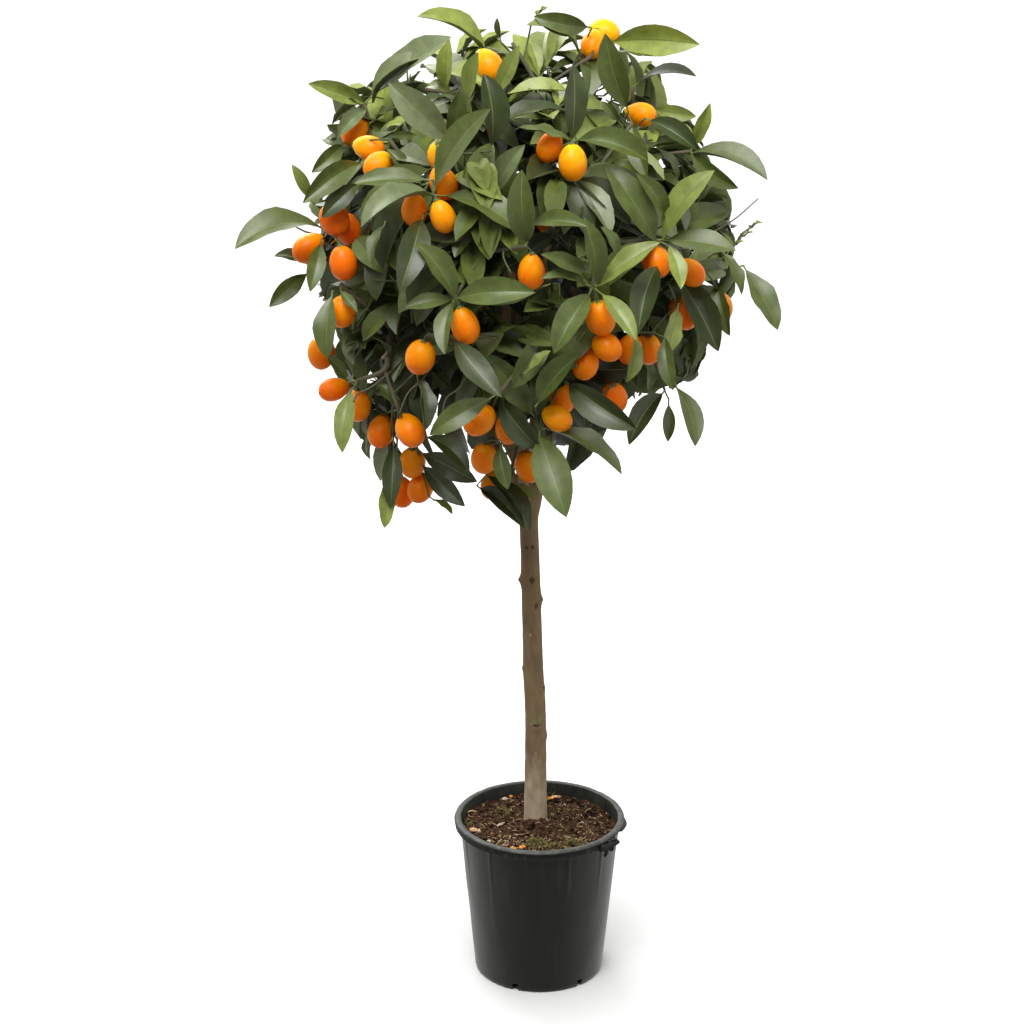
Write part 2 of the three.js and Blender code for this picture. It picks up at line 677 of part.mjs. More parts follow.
// The head of a shoot: a small pointed bud with each upper face drawn out into a leaf.
function headSolid(shoot, leaves) {
  const faces = facesRound(leaves);
  const top = along(shoot.at, shoot.axis, BUD_RADIUS);
  const foot = along(shoot.at, shoot.axis, -BUD_LENGTH);
  const ring = faces.map((face, i) => {
    const before = i > 0 ? faces[i - 1].bearing : faces.at(-1).bearing - 360;
    return along(shoot.at, round(shoot, (before + face.bearing) / 2), BUD_RADIUS);
  });
  const triangles = faces.flatMap((face, i) => {
    const first = ring[i];
    const second = ring[(i + 1) % ring.length];
    const under = [second, first, foot];
    if (!face.tip) {
      return [...under, first, second, top];
    }
    return [
      ...under, first, second, face.tip,
      top, face.right, face.left, face.right, face.tip, face.left,
      top, first, face.right, first, face.tip, face.right,
      top, face.left, second, second, face.left, face.tip,
    ];
  });
  return solidOf(new THREE.BufferGeometry().setFromPoints(triangles));
}

// The space round a bud that other buds' leaves keep out of.
function budRoom(at) {
  const room = new THREE.OctahedronGeometry(BLADE_START - 1);
  room.translate(at.x, at.y, at.z);
  return solidOf(room);
}

function clearOfLimbs(points, limbPoints) {
  return points.every((point) => limbPoints.every(({ at, radius }) => (
    point.distanceTo(at) > radius + LIMB_MARGIN
  )));
}

// How long a leaf may be before its tip leaves the crown's ball.
function lengthInside(root, ahead) {
  const outward = root.clone().sub(CROWN_HEART);
  const half = outward.dot(ahead);
  return Math.sqrt(half * half - outward.lengthSq() + CROWN_EDGE * CROWN_EDGE) - half;
}

// The first try at a leaf that fits its mass's space, clear of every limb, leaf and fruit.
function leafThatFits(shoot, turn, length, taken, mass, plan, limbPoints, obstacles, random) {
  for (let i = 0; i < LEAF_TRIES; i += 1) {
    const turned = turn + (random() - 0.5) * i * TRY_TURN;
    const ahead = leafAhead(shoot, turned, (random() - 0.5) * i * TRY_OPENING);
    const longest = Math.max(lengthInside(shoot.at, ahead), LEAF_SHORTEST * length);
    const leaf = leafOf(shoot, ahead, Math.min(length, longest));
    const apart = taken.every((other) => (
      turnBetween(leaf.bearing, other.bearing) > 2 * Math.max(leaf.reach, other.reach) + LEAF_APART
    ));
    const inside = leaf.corners.every((corner) => roomAt(corner, mass, plan) > EDGE_MARGIN);
    if (apart && inside && clearOfLimbs(leaf.blade, limbPoints)) {
      const blade = solidOf(new ConvexGeometry(leaf.blade));
      if (obstacles.every((other) => other.intersect(blade).isEmpty())) {
        obstacles.push(blade);
        return leaf;
      }
    }
  }
  return null;
}

function shootLeaves(shoot, mass, plan, limbPoints, obstacles, random) {
  const taken = [];
  shoot.turns.forEach((turn) => {
    const length = LEAF_LENGTH * (1 + (random() - 0.5) * 2 * LEAF_SPREAD);
    const leaf = leafThatFits(
      shoot, turn, length, taken, mass, plan, limbPoints, obstacles, random,
    );
    if (leaf) {
      taken.push(leaf);
    }
  });
  return taken;
}

// A fruit and its stalk are one limb: thin from the shoot, then round, leaning away and down.
function fruitSolids(shoot, mass, plan, limbPoints) {
  return shoot.fruit.flatMap((wanted) => {
    const away = wanted.clone().sub(shoot.at);
    const distance = Math.max(away.length(), FRUIT_LENGTH / 2 + STALK_LENGTH);
    const at = kept(along(shoot.at, away.normalize(), distance), mass, plan, FRUIT_MARGIN);
    const hang = at.clone().sub(shoot.at).normalize().addScaledVector(UP, -FRUIT_SAG).normalize();
    const knots = FRUIT_PROFILE.map(({ down, radius }) => ({
      at: along(at, hang, (down - 0.5) * FRUIT_LENGTH),
      radius: (radius * FRUIT_WIDTH) / 2,
    }));
    const free = clearOfLimbs(knots.map((knot) => knot.at), limbPoints);
    const inside = roomAt(at, mass, plan) > FRUIT_MARGIN - 1;
    const stalk = { at: shoot.at, radius: STALK_RADIUS };
    return free && inside ? [jointedLimb([stalk, ...knots], FRUIT_SIDES)] : [];
  });
}

function massSolid(mass, shoots, plan, limbPoints, seed) {
  const random = seeded(seed);
  const own = shoots.filter((shoot) => shoot.mass === mass);
  const direction = mass.course.getTangent(1);
  const start = along(mass.course.getPoint(1), direction, CLEARANCE);
  const stemEnd = along(start, direction, 2 * BOUGH_TIP_RADIUS);
  const stem = [{ at: start, radius: BOUGH_TIP_RADIUS }, { at: stemEnd, radius: BOUGH_TIP_RADIUS }];
  const limbs = [];
  branch(stem, own, random, limbs);
  const twigs = limbs.map((knots) => jointedLimb(knots, TWIG_SIDES));
  const fruit = own.flatMap((shoot) => fruitSolids(shoot, mass, plan, limbPoints));
  const pairs = own.map(whorlsOf);
  const whorls = [...pairs.map(([tip]) => tip), ...pairs.map(([, lower]) => lower)];
  const obstacles = [...fruit, ...twigs, ...whorls.map(({ at }) => budRoom(at))];
  const heads = whorls.map((whorl) => (
    headSolid(whorl, shootLeaves(whorl, mass, plan, limbPoints, obstacles, random))
  ));
  return joined([...twigs, ...heads, ...fruit]);
}

// ---- assembly ----

const MATERIALS = {
  bark: { color: 0x7a6a58, roughness: 0.85 },
  foliage: { color: 0x46602f, roughness: 0.45 },
  pot: { color: 0x262925, roughness: 0.5 },
  soil: { color: 0x3a281c, roughness: 0.95 },
};

function named(name, solid, look) {
  const material = new THREE.MeshStandardMaterial({ ...MATERIALS[look], metalness: 0 });
  const mesh = new THREE.Mesh(geometryOf(solid), material);
  mesh.name = name;
  return mesh;
}

function samplesAlong(course, radius) {
  const count = Math.ceil(course.getLength() / LIMB_MARGIN);
  return course.getPoints(count).map((at) => ({ at, radius }));
}

function tree() {
  const plan = massPlan();
  const front = frontShoots();
  const shoots = [...front, ...fillShoots(front)];
  shoots.forEach((shoot) => {
    shoot.mass = plan.reduce((best, mass) => (
      mass.heart.distanceTo(shoot.at) < best.heart.distanceTo(shoot.at) ? mass : best
    ));
    shoot.at = kept(shoot.at, shoot.mass, plan, TWIG_MARGIN);
    aim(shoot);
  });
  const limbPoints = [
    ...samplesAlong(trunkCourse, TRUNK_FOOT_RADIUS),
    ...plan.flatMap((mass) => samplesAlong(mass.course, BOUGH_FOOT_RADIUS)),
  ];
  const room = trunkRoom();
  const group = new THREE.Group();
  group.add(named('trunk', limb(trunkCourse, trunkRadius, TRUNK_SIDES, TRUNK_STEPS), 'bark'));
  plan.forEach((mass, i) => {
    group.add(named(`bough_${mass.name}`, boughSolid(mass, room), 'bark'));
    const solid = massSolid(mass, shoots, plan, limbPoints, SEED + 1 + i);
    group.add(named(`foliage_${mass.name}`, solid, 'foliage'));
  });
  return group;
}

const model = new THREE.Group();
model.add(named('pot', potSolid(), 'pot'));
model.add(named('soil', soilSolid(), 'soil'));
model.add(tree());

export default model;
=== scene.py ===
"""The looks of a potted kumquat tree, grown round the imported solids.

Places are in millimetres in the row's frame (+Z up, the front faces -Y) until a mesh is made.
"""

import math

import bpy
import numpy as np
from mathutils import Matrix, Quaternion, Vector, noise

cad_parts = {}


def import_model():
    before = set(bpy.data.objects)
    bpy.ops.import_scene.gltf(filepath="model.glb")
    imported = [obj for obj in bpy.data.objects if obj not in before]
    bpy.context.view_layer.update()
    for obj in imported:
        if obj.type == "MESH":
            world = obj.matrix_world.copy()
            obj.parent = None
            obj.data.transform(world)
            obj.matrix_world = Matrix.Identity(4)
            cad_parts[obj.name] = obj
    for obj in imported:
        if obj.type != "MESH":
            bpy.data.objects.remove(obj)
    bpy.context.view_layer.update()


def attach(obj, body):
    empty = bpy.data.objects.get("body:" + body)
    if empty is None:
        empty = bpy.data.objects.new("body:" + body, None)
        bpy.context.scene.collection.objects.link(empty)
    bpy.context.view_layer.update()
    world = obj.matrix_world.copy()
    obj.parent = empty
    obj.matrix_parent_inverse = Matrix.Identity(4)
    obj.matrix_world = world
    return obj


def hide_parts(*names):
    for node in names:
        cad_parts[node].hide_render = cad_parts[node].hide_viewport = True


MM = 0.001
UP = Vector((0, 0, 1))

# ---- sizes and rules that the source has too ----

CLEARANCE = 0.3  # between solids that meet

POT_HEIGHT = 193
POT_BASE_RADIUS = 75.5
POT_WALL_TOP_RADIUS = 93
POT_WALL = 2
POT_FLOOR = 3
LIP_RADIUS = 100
LIP_HEIGHT = 10
LIP_TOP_WIDTH = 8
DRAIN_COUNT = 6
DRAIN_WIDTH = 7
DRAIN_HEIGHT = 9
DRAIN_BEARING = -22  # degrees from the front, towards the right

SOIL_LEVEL = 175
MOUND_HEIGHT = 7.5
MOUND_FLAT_RADIUS = 24
MOUND_SPREAD = 26

TRUNK_FOOT = SOIL_LEVEL + MOUND_HEIGHT + CLEARANCE
TRUNK_COURSE = [
    Vector((-4.5, 12, TRUNK_FOOT)),
    Vector((-4.5, 12, 250)),
    Vector((-5, 11.5, 320)),
    Vector((-7.5, 11, 372)),
    Vector((-9.5, 10, 441)),
    Vector((-12.5, 8, 535)),
    Vector((-16, 6.5, 600)),
    Vector((-22, 5, 664)),
]
TRUNK_FOOT_RADIUS = 13.2
TRUNK_TIP_RADIUS = 9.6

CROWN_HEART = Vector((-34, 4, 850))
CROWN_REACH = 218  # from the heart to the shoots' tips
CROWN_EDGE = 290  # and to the furthest leaves' tips
EYE = Vector((-32, -2800, 1533))  # where the camera stands
HEART_REACH = 160  # from the crown's heart to each mass's heart
MASS_RINGS = [
    # name, count, first bearing, height, the first bough's foot, bend
    ("upper", 5, -30, 32, 609, 0.28),
    ("lower", 5, 6, -24, 571, 0.25),
]
BOUGH_END = 70  # from the crown's heart
BOUGH_FOOT_RADIUS = 6.1
BOUGH_TIP_RADIUS = 5.2
BOUGH_STAGGER = 6
SEED = 1871

FILL_SHOOTS = 70
FILL_SPACING = 16  # degrees that a filling shoot keeps from a front one
FILL_WANDER = 13  # degrees
FILL_UNEVEN = 0.06  # of the reach
LOWEST_SHOOT = -50  # degrees
INNER_SHARE = 0.3
INNER_REACH = 0.74
UNDERSIDE_FROM = 0.25  # how far down the ball it flattens
UNDERSIDE_TO = 0.8
UNDERSIDE_SHRINK = 0.16
FRONT_LEAN = 0.6
SHOOT_RADIUS = 2.1
KNEE_SHARE = 0.46
KNEE_WANDER = 7
TWIG_MARGIN = 7  # from a shoot to the edge of its mass's space
LEAVES_PER_SHOOT = 6
GOLDEN_TURN = 137.5
LIMB_MARGIN = 9
FRUIT_REACH = 226
FRUIT_HANG = 27
FRUIT_SWING = 13
FRUIT_EVERY = 3

# ---- the crown as the photo shows it ----

# The front shoots, read from the photo. Across and up are millimetres from the crown's
# heart, as the camera sees it. Each leaf has its root across and up from the shoot, its turn from
# the right, its length and its tone. Each fruit has its middle across and up from the shoot, its
# hue and, where it leans, how far to the right of straight down.
# A leaf's tone is painted light and shade: light for a lit leaf, dark for a shaded one and the greyish
# tone for a painted sheen; young is the new leaves' own green. The red of the fruit that hang in shade
# is painted shade.
FRONT_SHOOTS = [
    (-159, 179, [
        (1, 0, 162, 63, "light"), (8, 7, 35, 106, "grey"), (9, 1, 37, 77, "grey"),
        (-24, -45, 224, 44, "mid"), (2, -7, 225, 43, "grey"), (-2, -5, 152, 23, "grey"),
        (10, -19, 29, 29, "mid"),
    ], [(-9, -30, "orange", -40)]),
    (-132, 140, [
        (-3, -10, 311, 43, "mid"), (-31, -26, 216, 72, "mid"), (-35, -49, 224, 50, "dark"),
        (1, 4, 0, 28, "mid"),
    ], [(-12, -28, "amber", -50), (-23, -9, "amber", 75)]),
    (-85, 80, [
        (3, 9, 53, 94, "mid"), (-3, 1, 207, 76, "grey"), (13, -1, 333, 87, "mid"),
        (-6, 15, 183, 73, "mid"), (-12, -27, 254, 77, "dark"),
    ], [(11, -23, "amber"), (-20, -15, "orange"), (12, 13, "orange"), (10, 42, "amber")]),
    (-66, 143, [
        (0, -4, 137, 85, "grey"), (1, -3, 79, 51, "mid"), (45, -9, 96, 71, "dark"),
    ], []),
    (-29, 226, [
        (2, 6, 153, 81, "young"), (-41, -30, 85, 49, "young"), (13, -37, 63, 54, "light"),
        (-15, -42, 79, 47, "light"),
    ], [(5, -5, "amber", 35)]),
    (2, 244, [(25, 25, 43, 18, "light"), (-13, 6, 99, 20, "dark")], []),
    (89, 230, [
        (23, 15, 359, 94, "young"), (29, 5, 352, 50, "mid"), (-14, 5, 156, 62, "light"),
        (-6, 31, 171, 58, "mid"),
    ], [(1, 13, "amber", -15), (13, 25, "yellow", 65)]),
    (133, 197, [(7, 4, 5, 60, "dark")], []),
    (67, 137, [
        (0, 3, 89, 75, "dark"), (-1, 2, 167, 54, "mid"), (6, 2, 344, 75, "mid"),
        (-8, 35, 193, 71, "dark"),
    ], [(1, -22, "amber"), (-24, -5, "orange")]),
    (133, 157, [
        (-6, 17, 108, 78, "mid"), (-15, 3, 133, 27, "mid"), (-1, -1, 285, 59, "mid"),
        (24, 15, 350, 45, "light"), (19, 3, 327, 58, "dark"),
    ], [(8, 10, "amber", 80)]),
    (196, 127, [(3, 5, 70, 48, "young"), (3, -2, 339, 83, "mid"), (3, -5, 323, 59, "mid")], []),
    (161, 31, [
        (-2, -2, 124, 95, "mid"), (9, 22, 126, 56, "mid"), (6, 1, 54, 86, "light"),
        (10, 0, 351, 70, "mid"), (-3, -6, 219, 76, "mid"), (12, -6, 284, 46, "young"),
        (-1, -29, 253, 72, "dark"),
    ], [(-1, -24, "orange", 20), (36, -35, "orange", 45)]),
    (207, 7, [
        (-23, -15, 298, 90, "dark"), (20, -23, 282, 58, "mid"), (27, 9, 292, 47, "mid"),
        (51, -9, 297, 72, "mid"),
    ], [(-17, -55, "orange", 20), (21, -51, "orange")]),
    (19, 24, [(-1, 5, 94, 71, "mid"), (5, 22, 357, 55, "mid")], [(4, -27, "orange")]),
    (90, -20, [
        (4, 4, 102, 67, "mid"), (27, 29, 117, 38, "mid"), (-7, 16, 160, 49, "mid"),
        (-7, 2, 172, 46, "mid"), (9, 2, 36, 73, "light"), (-4, -8, 239, 69, "mid"),
        (10, -8, 306, 57, "light"),
    ], [(9, -34, "orange"), (16, -66, "orange", 50), (-7, -82, "orange", -15)]),
    (155, -69, [
        (-17, -6, 258, 47, "light"), (14, -6, 278, 55, "mid"), (28, 25, 255, 51, "light"),
    ], [(-24, -19, "orange"), (-4, -19, "orange")]),
    (-61, -32, [
        (0, 0, 125, 67, "mid"), (-2, -1, 190, 49, "mid"), (3, 0, 4, 79, "mid"),
        (-2, -5, 262, 52, "mid"),
    ], [(11, -30, "orange")]),
    (-90, -72, [(29, -6, 310, 74, "dark")], [(-9, -25, "orange")]),
    (32, -177, [
        (-9, 19, 128, 79, "mid"), (0, -19, 129, 65, "dark"), (-1, 30, 50, 67, "mid"),
        (7, 2, 329, 92, "mid"), (0, -7, 288, 98, "mid"),
    ], [(19, 13, "amber", 60), (25, 35, "orange")]),
    (-11, -135, [(-11, -7, 211, 72, "mid"), (31, 24, 41, 30, "light")],
     [(-23, -31, "orange", -50), (8, -39, "orange")]),
    (-9, -188, [(-2, -7, 280, 45, "mid")], [(-20, -20, "orange"), (-10, -49, "orange")]),
    (-3, -240, [
        (6, 4, 330, 30, "light"), (-22, 12, 308, 74, "dark"), (-30, -2, 320, 62, "dark"),
    ], [(23, 22, "orange")]),
    (-199, 40, [
        (-10, 6, 196, 88, "mid"), (-20, 37, 117, 39, "light"), (61, 6, 255, 42, "mid"),
        (-8, -13, 259, 51, "mid"), (-24, -35, 166, 35, "dark"),
    ], [(-21, -17, "orange", -50), (7, 13, "red", 30), (23, 2, "red"), (16, -34, "red")]),
    (-186, -17, [(-37, 11, 222, 53, "mid"), (-9, -13, 266, 64, "mid"), (0, -7, 310, 29, "mid")],
     [(2, -30, "orange")]),
    (-168, -123, [
        (-12, 3, 128, 32, "mid"), (20, 1, 310, 39, "mid"), (-6, -10, 262, 66, "light"),
    ], [(-25, -9, "orange", -75), (0, -27, "orange")]),
    (-123, -155, [
        (21, 37, 278, 56, "dark"), (-6, -39, 268, 67, "dark"), (-14, -76, 268, 53, "young"),
        (38, -99, 324, 26, "light"), (27, -48, 334, 66, "dark"), (31, -30, 322, 58, "dark"),
        (27, -62, 318, 62, "dark"),
    ], [
        (-19, -23, "orange", -15), (12, -22, "orange", 30), (15, -58, "orange"),
        (24, -86, "orange", -25), (2, -90, "orange", 20),
    ]),
    (166, -122, [(16, -8, 287, 64, "mid"), (8, -27, 268, 40, "mid"), (1, -15, 235, 64, "dark")],
     []),
    (98, -144, [(-33, 17, 327, 81, "dark")], [(16, 2, "red")]),
]

# The crown's reach as the camera sees it, in even steps from the right, anticlockwise.
OUTLINE_STEP = 15  # degrees
OUTLINE = [
    265, 265, 269, 261, 305, 285, 271, 280, 266, 300, 247, 245,
    233, 222, 223, 263, 290, 278, 266, 277, 208, 213, 249, 255,
]
OUTLINE_MARGIN = 7
RAGGED_EDGE = 16  # how deep the notches in it are
NOTCH_WIDTH = 0.2  # and how wide, as a share of the distance from its middle

# Thin twigs that stand out of the leaves: their course across and up, and how many small leaves.
BARE_TWIGS = [
    ([(196, 22), (218, 37), (244, 53), (268, 74)], 0),
    ([(224, 8), (243, 23), (252, 37), (262, 44)], 5),
    ([(-224, 40), (-246, 57), (-252, 66)], 0),
    ([(-96, -120), (-112, -136), (-121, -158)], 0),
    ([(-54, -128), (-70, -142), (-74, -164)], 0),
    ([(-150, -128), (-166, -136), (-172, -146)], 0),
]

# Where sky shows through the crown: across, up, half width, half height.
SKY = [
    (-158, 2, 13, 10),
    (-174, 64, 8, 8),
    (-133, 169, 9, 7),
    (111, 201, 11, 13),
    (-73, -134, 18, 14),
    (-137, -107, 13, 14),
    (-62, -184, 28, 15),
    (150, -116, 12, 8),
]

# ---- finer growth ----

SPRAY_SHELLS = [
    # from the crown's heart, spacing, leaves on each, whether they stand out as on the front
    (226, 60, 6, True),
    (120, 58, 6, False),
    (162, 50, 7, False),
    (206, 48, 8, False),
    (238, 39, 7, False),
]
ROSETTE_APART = 46  # sprays that stand out keep this far from the shoots
ROSETTE_FRONT = 40  # and none comes nearer to the camera than this, past the crown's heart
SPRAY_WANDER = 14  # degrees
SPRAY_UNEVEN = 0.12  # of the reach
SPRAY_LOWEST = -58  # degrees
SPRAY_RADIUS = 1.1
SPRAY_LEAFY = 42  # how much of its end bears leaves
SPRAY_OPENING = 72  # degrees from the twig, for its lowest leaf
SPRAY_CLOSING = 42  # how much less for the leaf at its end
SPRAY_LOOSE = 20  # how much this differs
SPRAY_LEAST = 8  # a spray starts at least this much nearer to the crown's heart than it ends
SPRAY_RISE = 8  # how far up its middle bows at most
SPRAY_SWAY = 9  # and how far from side to side
SHOOT_OPENING = 45  # degrees from the shoot, at least, for the leaves at its end
SHOOT_LOOSE = 30  # and how much more at most
LIMB_SIDES = 8
LIMB_STEPS = 4  # from one knot of a limb to the next
TWIG_SIDES = 6
INNER_FRONT = 210  # nothing but the front shoots' own leaves stands out of this ball in front
EDGE_SLACK = 6  # how far past it a tip may come, and how far inside the crown's edge it stays
SHARED_ROOM = 12  # how far a leaf may reach into the next mass's space
SKY_MARGIN = 1.2  # each hole of sky is kept this much larger, by area

FRONT_EDGE = 318  # how far the front shoots' own leaves reach
OWN_ROOT = 28  # a leaf rooted nearer than this to its shoot is as far back as the shoot
OWN_TWIG = 14  # a leaf rooted farther than this from its twig's end gets a twig of its own
OWN_PETIOLE = 6  # and stands this far from its end

LEAF_LENGTH = 80
LEAF_SPREAD = 0.2  # how far lengths differ, as a share
LEAF_HALF_WIDTH = 0.19  # of the length
LEAF_DROOP = 0.3  # how far they hang
LEAF_TILT = 0.8  # how unevenly the upper sides face
LEAF_TO_CAMERA = 0.7  # how far they turn to the camera in front
FILL_REACH = 228  # filling leaves stay within this, but for those at the outline
OUTLINE_BAND = 60  # how far before or behind the crown's heart the outline lies
YOUNGER_LEAVES = (1, 0.8, 0.64, 0.5)  # where a full-grown leaf would stand out, a younger one
LEAF_TRIES = 4
TRY_TURN = 50  # degrees round the twig from one try to the next
TRY_CLOSING = 6  # degrees nearer to the twig
PETIOLE_LENGTH = 9
PETIOLE_RADIUS = 0.85
LEAF_THICK = 0.5
RIB_THICK = 1.2
FINE_STATIONS = [0.0, 0.04, 0.11, 0.2, 0.31, 0.43, 0.55, 0.67, 0.78, 0.88, 0.95, 1.0]
FINE_TOP = [-1, -0.5, -0.035, 0.035, 0.5, 1]  # shares of the half width, across the upper side
FINE_UNDER = [0.95, 0.5, 0.05, -0.05, -0.5, -0.95]
PLAIN_STATIONS = [0.0, 0.07, 0.2, 0.36, 0.53, 0.7, 0.86, 1.0]
PLAIN_TOP = [-1, 0, 1]
PLAIN_UNDER = [0.93, 0, -0.93]
CREASE = 38  # a leaf's surface is smooth up to this angle
BLADE_MARGIN = 3  # between leaves that don't touch
BLADE_NEAR = 125  # only leaves rooted within this are tested against each other
BLADES_AT_MOST = 9000

FRUIT_WIDTH = 31
FRUIT_LENGTH = 41
FRUIT_LEAST = 0.84  # the smallest fruit, as a share of these
FRUIT_APART = 33  # between the middles of two
FRUIT_OFF = 21  # a fruit's middle keeps this far from the end of its shoot
FRUIT_TUCK = 14  # how far back among the leaves a fruit is hung, if there is room
FRUIT_BACK = 81  # and how far back or forward at most
FRUIT_FORWARD = 40
FRUIT_CLEAR = 16.5  # from a fruit's middle to any leaf
FRUIT_SHOWS = 11  # no filling leaf stands before this much of a fruit
FRUIT_OUT = 15  # how far the fruit of the other shoots is pushed out, to show
FILL_FRUIT = [["orange", "amber"], ["orange"], []]  # on one such shoot after the other
FRUIT_SIDES = 22
FRUIT_RINGS = 19


# ---- random numbers and directions ----

def seeded(seed):
    """Random numbers from 0 to 1: the same seed gives the source's own series."""
    mask = 0xFFFFFFFF
    state = seed & mask

    def draw():
        nonlocal state
        state = (state + 0x6D2B79F5) & mask
        mixed = ((state ^ (state >> 15)) * (state | 1)) & mask
        mixed ^= (mixed + (mixed ^ (mixed >> 7)) * (mixed | 61)) & mask
        return (mixed ^ (mixed >> 14)) / 2**32

    return draw


def heading(bearing, height):
    """A unit vector: bearing from the front towards the right, height above the level."""
    level = math.cos(math.radians(height))
    turned = math.radians(bearing)
    return Vector((
        math.sin(turned) * level,
        -math.cos(turned) * level,
        math.sin(math.radians(height)),
    ))


def turn_between(one, other):
    """Degrees from one bearing to the other, the shorter way round."""
    return abs((one - other + 180) % 360 - 180)


def smoothstep(value, low, high):
    """0 up to low, 1 from high on, and smooth between the two."""
    share = min(1, max(0, (value - low) / (high - low)))
    return share * share * (3 - 2 * share)


def mean(points):
    return sum(points, Vector()) / len(points)


def any_across(axis):
    """A unit vector at right angles to an axis."""
    reference = UP if abs(axis.z) < 0.95 else Vector((0, 1, 0))
    return reference.cross(axis).normalized()


# ---- meshes ----

class Pile:
    """Closed shapes of four-sided faces, gathered into one mesh."""

    def __init__(self):
        self.places = []
        self.faces = []
        self.looks = []
        self.total = 0

    def add(self, places, faces, looks=0):
        """Places in millimetres; looks are material numbers, one for all or one a face."""
        self.places.append(places)
        self.faces.append(faces + self.total)
        self.looks.append(np.broadcast_to(looks, len(faces)))
        self.total += len(places)

    def piece(self, name, materials, *nodes, slot=None, crease=None):
        """The mesh as a piece of the scene. It replaces the CAD nodes that are named, if any, and
        crease is the angle in degrees from which its edges are sharp."""
        mesh = bpy.data.meshes.new(name)
        places = np.concatenate(self.places) * MM
        mesh.from_pydata(places, [], np.concatenate(self.faces))
        mesh.polygons.foreach_set("material_index", np.concatenate(self.looks).astype(np.int32))
        mesh.polygons.foreach_set("use_smooth", np.ones(len(mesh.polygons), dtype=bool))
        if crease:
            mesh.set_sharp_from_angle(angle=math.radians(crease))
        for material in materials:
            mesh.materials.append(material)
        piece = bpy.data.objects.new(name, mesh)
        bpy.context.scene.collection.objects.link(piece)
        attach(piece, "root")
        if nodes:
            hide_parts(*nodes)
        return piece


def ring_faces(rings, sides):
    """The faces of a tube of rings, closed at both ends; sides is even."""
    ring, side = np.meshgrid(np.arange(rings - 1), np.arange(sides), indexing="ij")
    after = (side + 1) % sides
    walls = np.stack([
        ring * sides + side,
        ring * sides + after,
        (ring + 1) * sides + after,
        (ring + 1) * sides + side,
    ], axis=-1).reshape(-1, 4)
    step = np.arange(sides // 2 - 1)
    end = np.stack([step, step + 1, sides - 2 - step, sides - 1 - step], axis=-1)
    return np.concatenate([walls, end[:, ::-1], end + (rings - 1) * sides])


def smooth_course(points, steps):
    """Points on a smooth curve through the given points."""
    course = np.array(points, dtype=float)
    before = np.vstack([2 * course[0] - course[1], course[:-1]])
    after = np.vstack([course[1:], 2 * course[-1] - course[-2]])
    slope = (after - before) / 2
    share = (np.arange(steps) / steps)[:, None]
    pieces = []
    for i in range(len(course) - 1):
        start, end = course[i], course[i + 1]
        run = start + share * slope[i]
        run = run + share**2 * (3 * (end - start) - 2 * slope[i] - slope[i + 1])
        run = run + share**3 * (2 * (start - end) + slope[i] + slope[i + 1])
        pieces.append(run)
    return np.vstack([*pieces, course[-1:]])


def sweep(course, radii, sides, relief=None):
    """Rings round a course. relief(ring, angles) gives what to add to a ring's radius."""
    course = np.asarray(course, dtype=float)
    ahead = np.gradient(course, axis=0)
    ahead /= np.linalg.norm(ahead, axis=1)[:, None]
    angles = np.arange(sides) * 2 * math.pi / sides
    side = np.array([1.0, 0, 0]) if abs(ahead[0][0]) < 0.8 else np.array([0, 1.0, 0])
    rings = []
    for i, at in enumerate(course):
        side = side - ahead[i] * (side @ ahead[i])
        side /= np.linalg.norm(side)
        across = np.cross(ahead[i], side)
        radius = np.full(sides, radii[i])
        if relief:
            radius = radius + relief(i, angles)
        out = np.cos(angles)[:, None] * side + np.sin(angles)[:, None] * across
        rings.append(at + out * radius[:, None])
    return np.vstack(rings)


# ---- materials ----

def new_material(name, colour, roughness, **sockets):
    material = bpy.data.materials.new(name)
    material.use_nodes = True
    shader = material.node_tree.nodes["Principled BSDF"]
    shader.inputs["Base Color"].default_value = (*colour, 1)
    shader.inputs["Roughness"].default_value = roughness
    for socket, value in sockets.items():
        shader.inputs[socket.replace("_", " ")].default_value = value
    return material


def noise_of(material, scale, detail=3, stretch=(1, 1, 1)):
    """A noise pattern in the object's own coordinates, scale in features a metre."""
    nodes, links = material.node_tree.nodes, material.node_tree.links
    coordinates = nodes.new("ShaderNodeTexCoord")
    mapping = nodes.new("ShaderNodeMapping")
    mapping.inputs["Scale"].default_value = stretch
    texture = nodes.new("ShaderNodeTexNoise")
    texture.inputs["Scale"].default_value = scale
    texture.inputs["Detail"].default_value = detail
    links.new(coordinates.outputs["Object"], mapping.inputs["Vector"])
    links.new(mapping.outputs["Vector"], texture.inputs["Vector"])
    return texture.outputs["Fac"]


def ramp_of(material, factor, stops):
    """Colours dealt along a pattern: each stop is a place and a colour."""
    ramp = material.node_tree.nodes.new("ShaderNodeValToRGB")
    while len(ramp.color_ramp.elements) < len(stops):
        ramp.color_ramp.elements.new(0.5)
    for element, (place, colour) in zip(ramp.color_ramp.elements, stops):
        element.position = place
        element.color = (*colour, 1)
    material.node_tree.links.new(factor, ramp.inputs["Fac"])
    return ramp.outputs["Color"]


def paint(material, colour):
    """Leads a pattern's colours to the surface."""
    shader = material.node_tree.nodes["Principled BSDF"]
    material.node_tree.links.new(colour, shader.inputs["Base Color"])


def bump_of(material, height, distance, strength=1.0):
    """Adds a bump of so many millimetres on top of any that the material has."""
    nodes, links = material.node_tree.nodes, material.node_tree.links
    shader = nodes["Principled BSDF"]
    bump = nodes.new("ShaderNodeBump")
    bump.inputs["Distance"].default_value = distance * MM
    bump.inputs["Strength"].default_value = strength
    links.new(height, bump.inputs["Height"])
    if shader.inputs["Normal"].links:
        links.new(shader.inputs["Normal"].links[0].from_socket, bump.inputs["Normal"])
    links.new(bump.outputs["Normal"], shader.inputs["Normal"])


def shaded(colour, factor):
    return tuple(channel * factor for channel in colour)


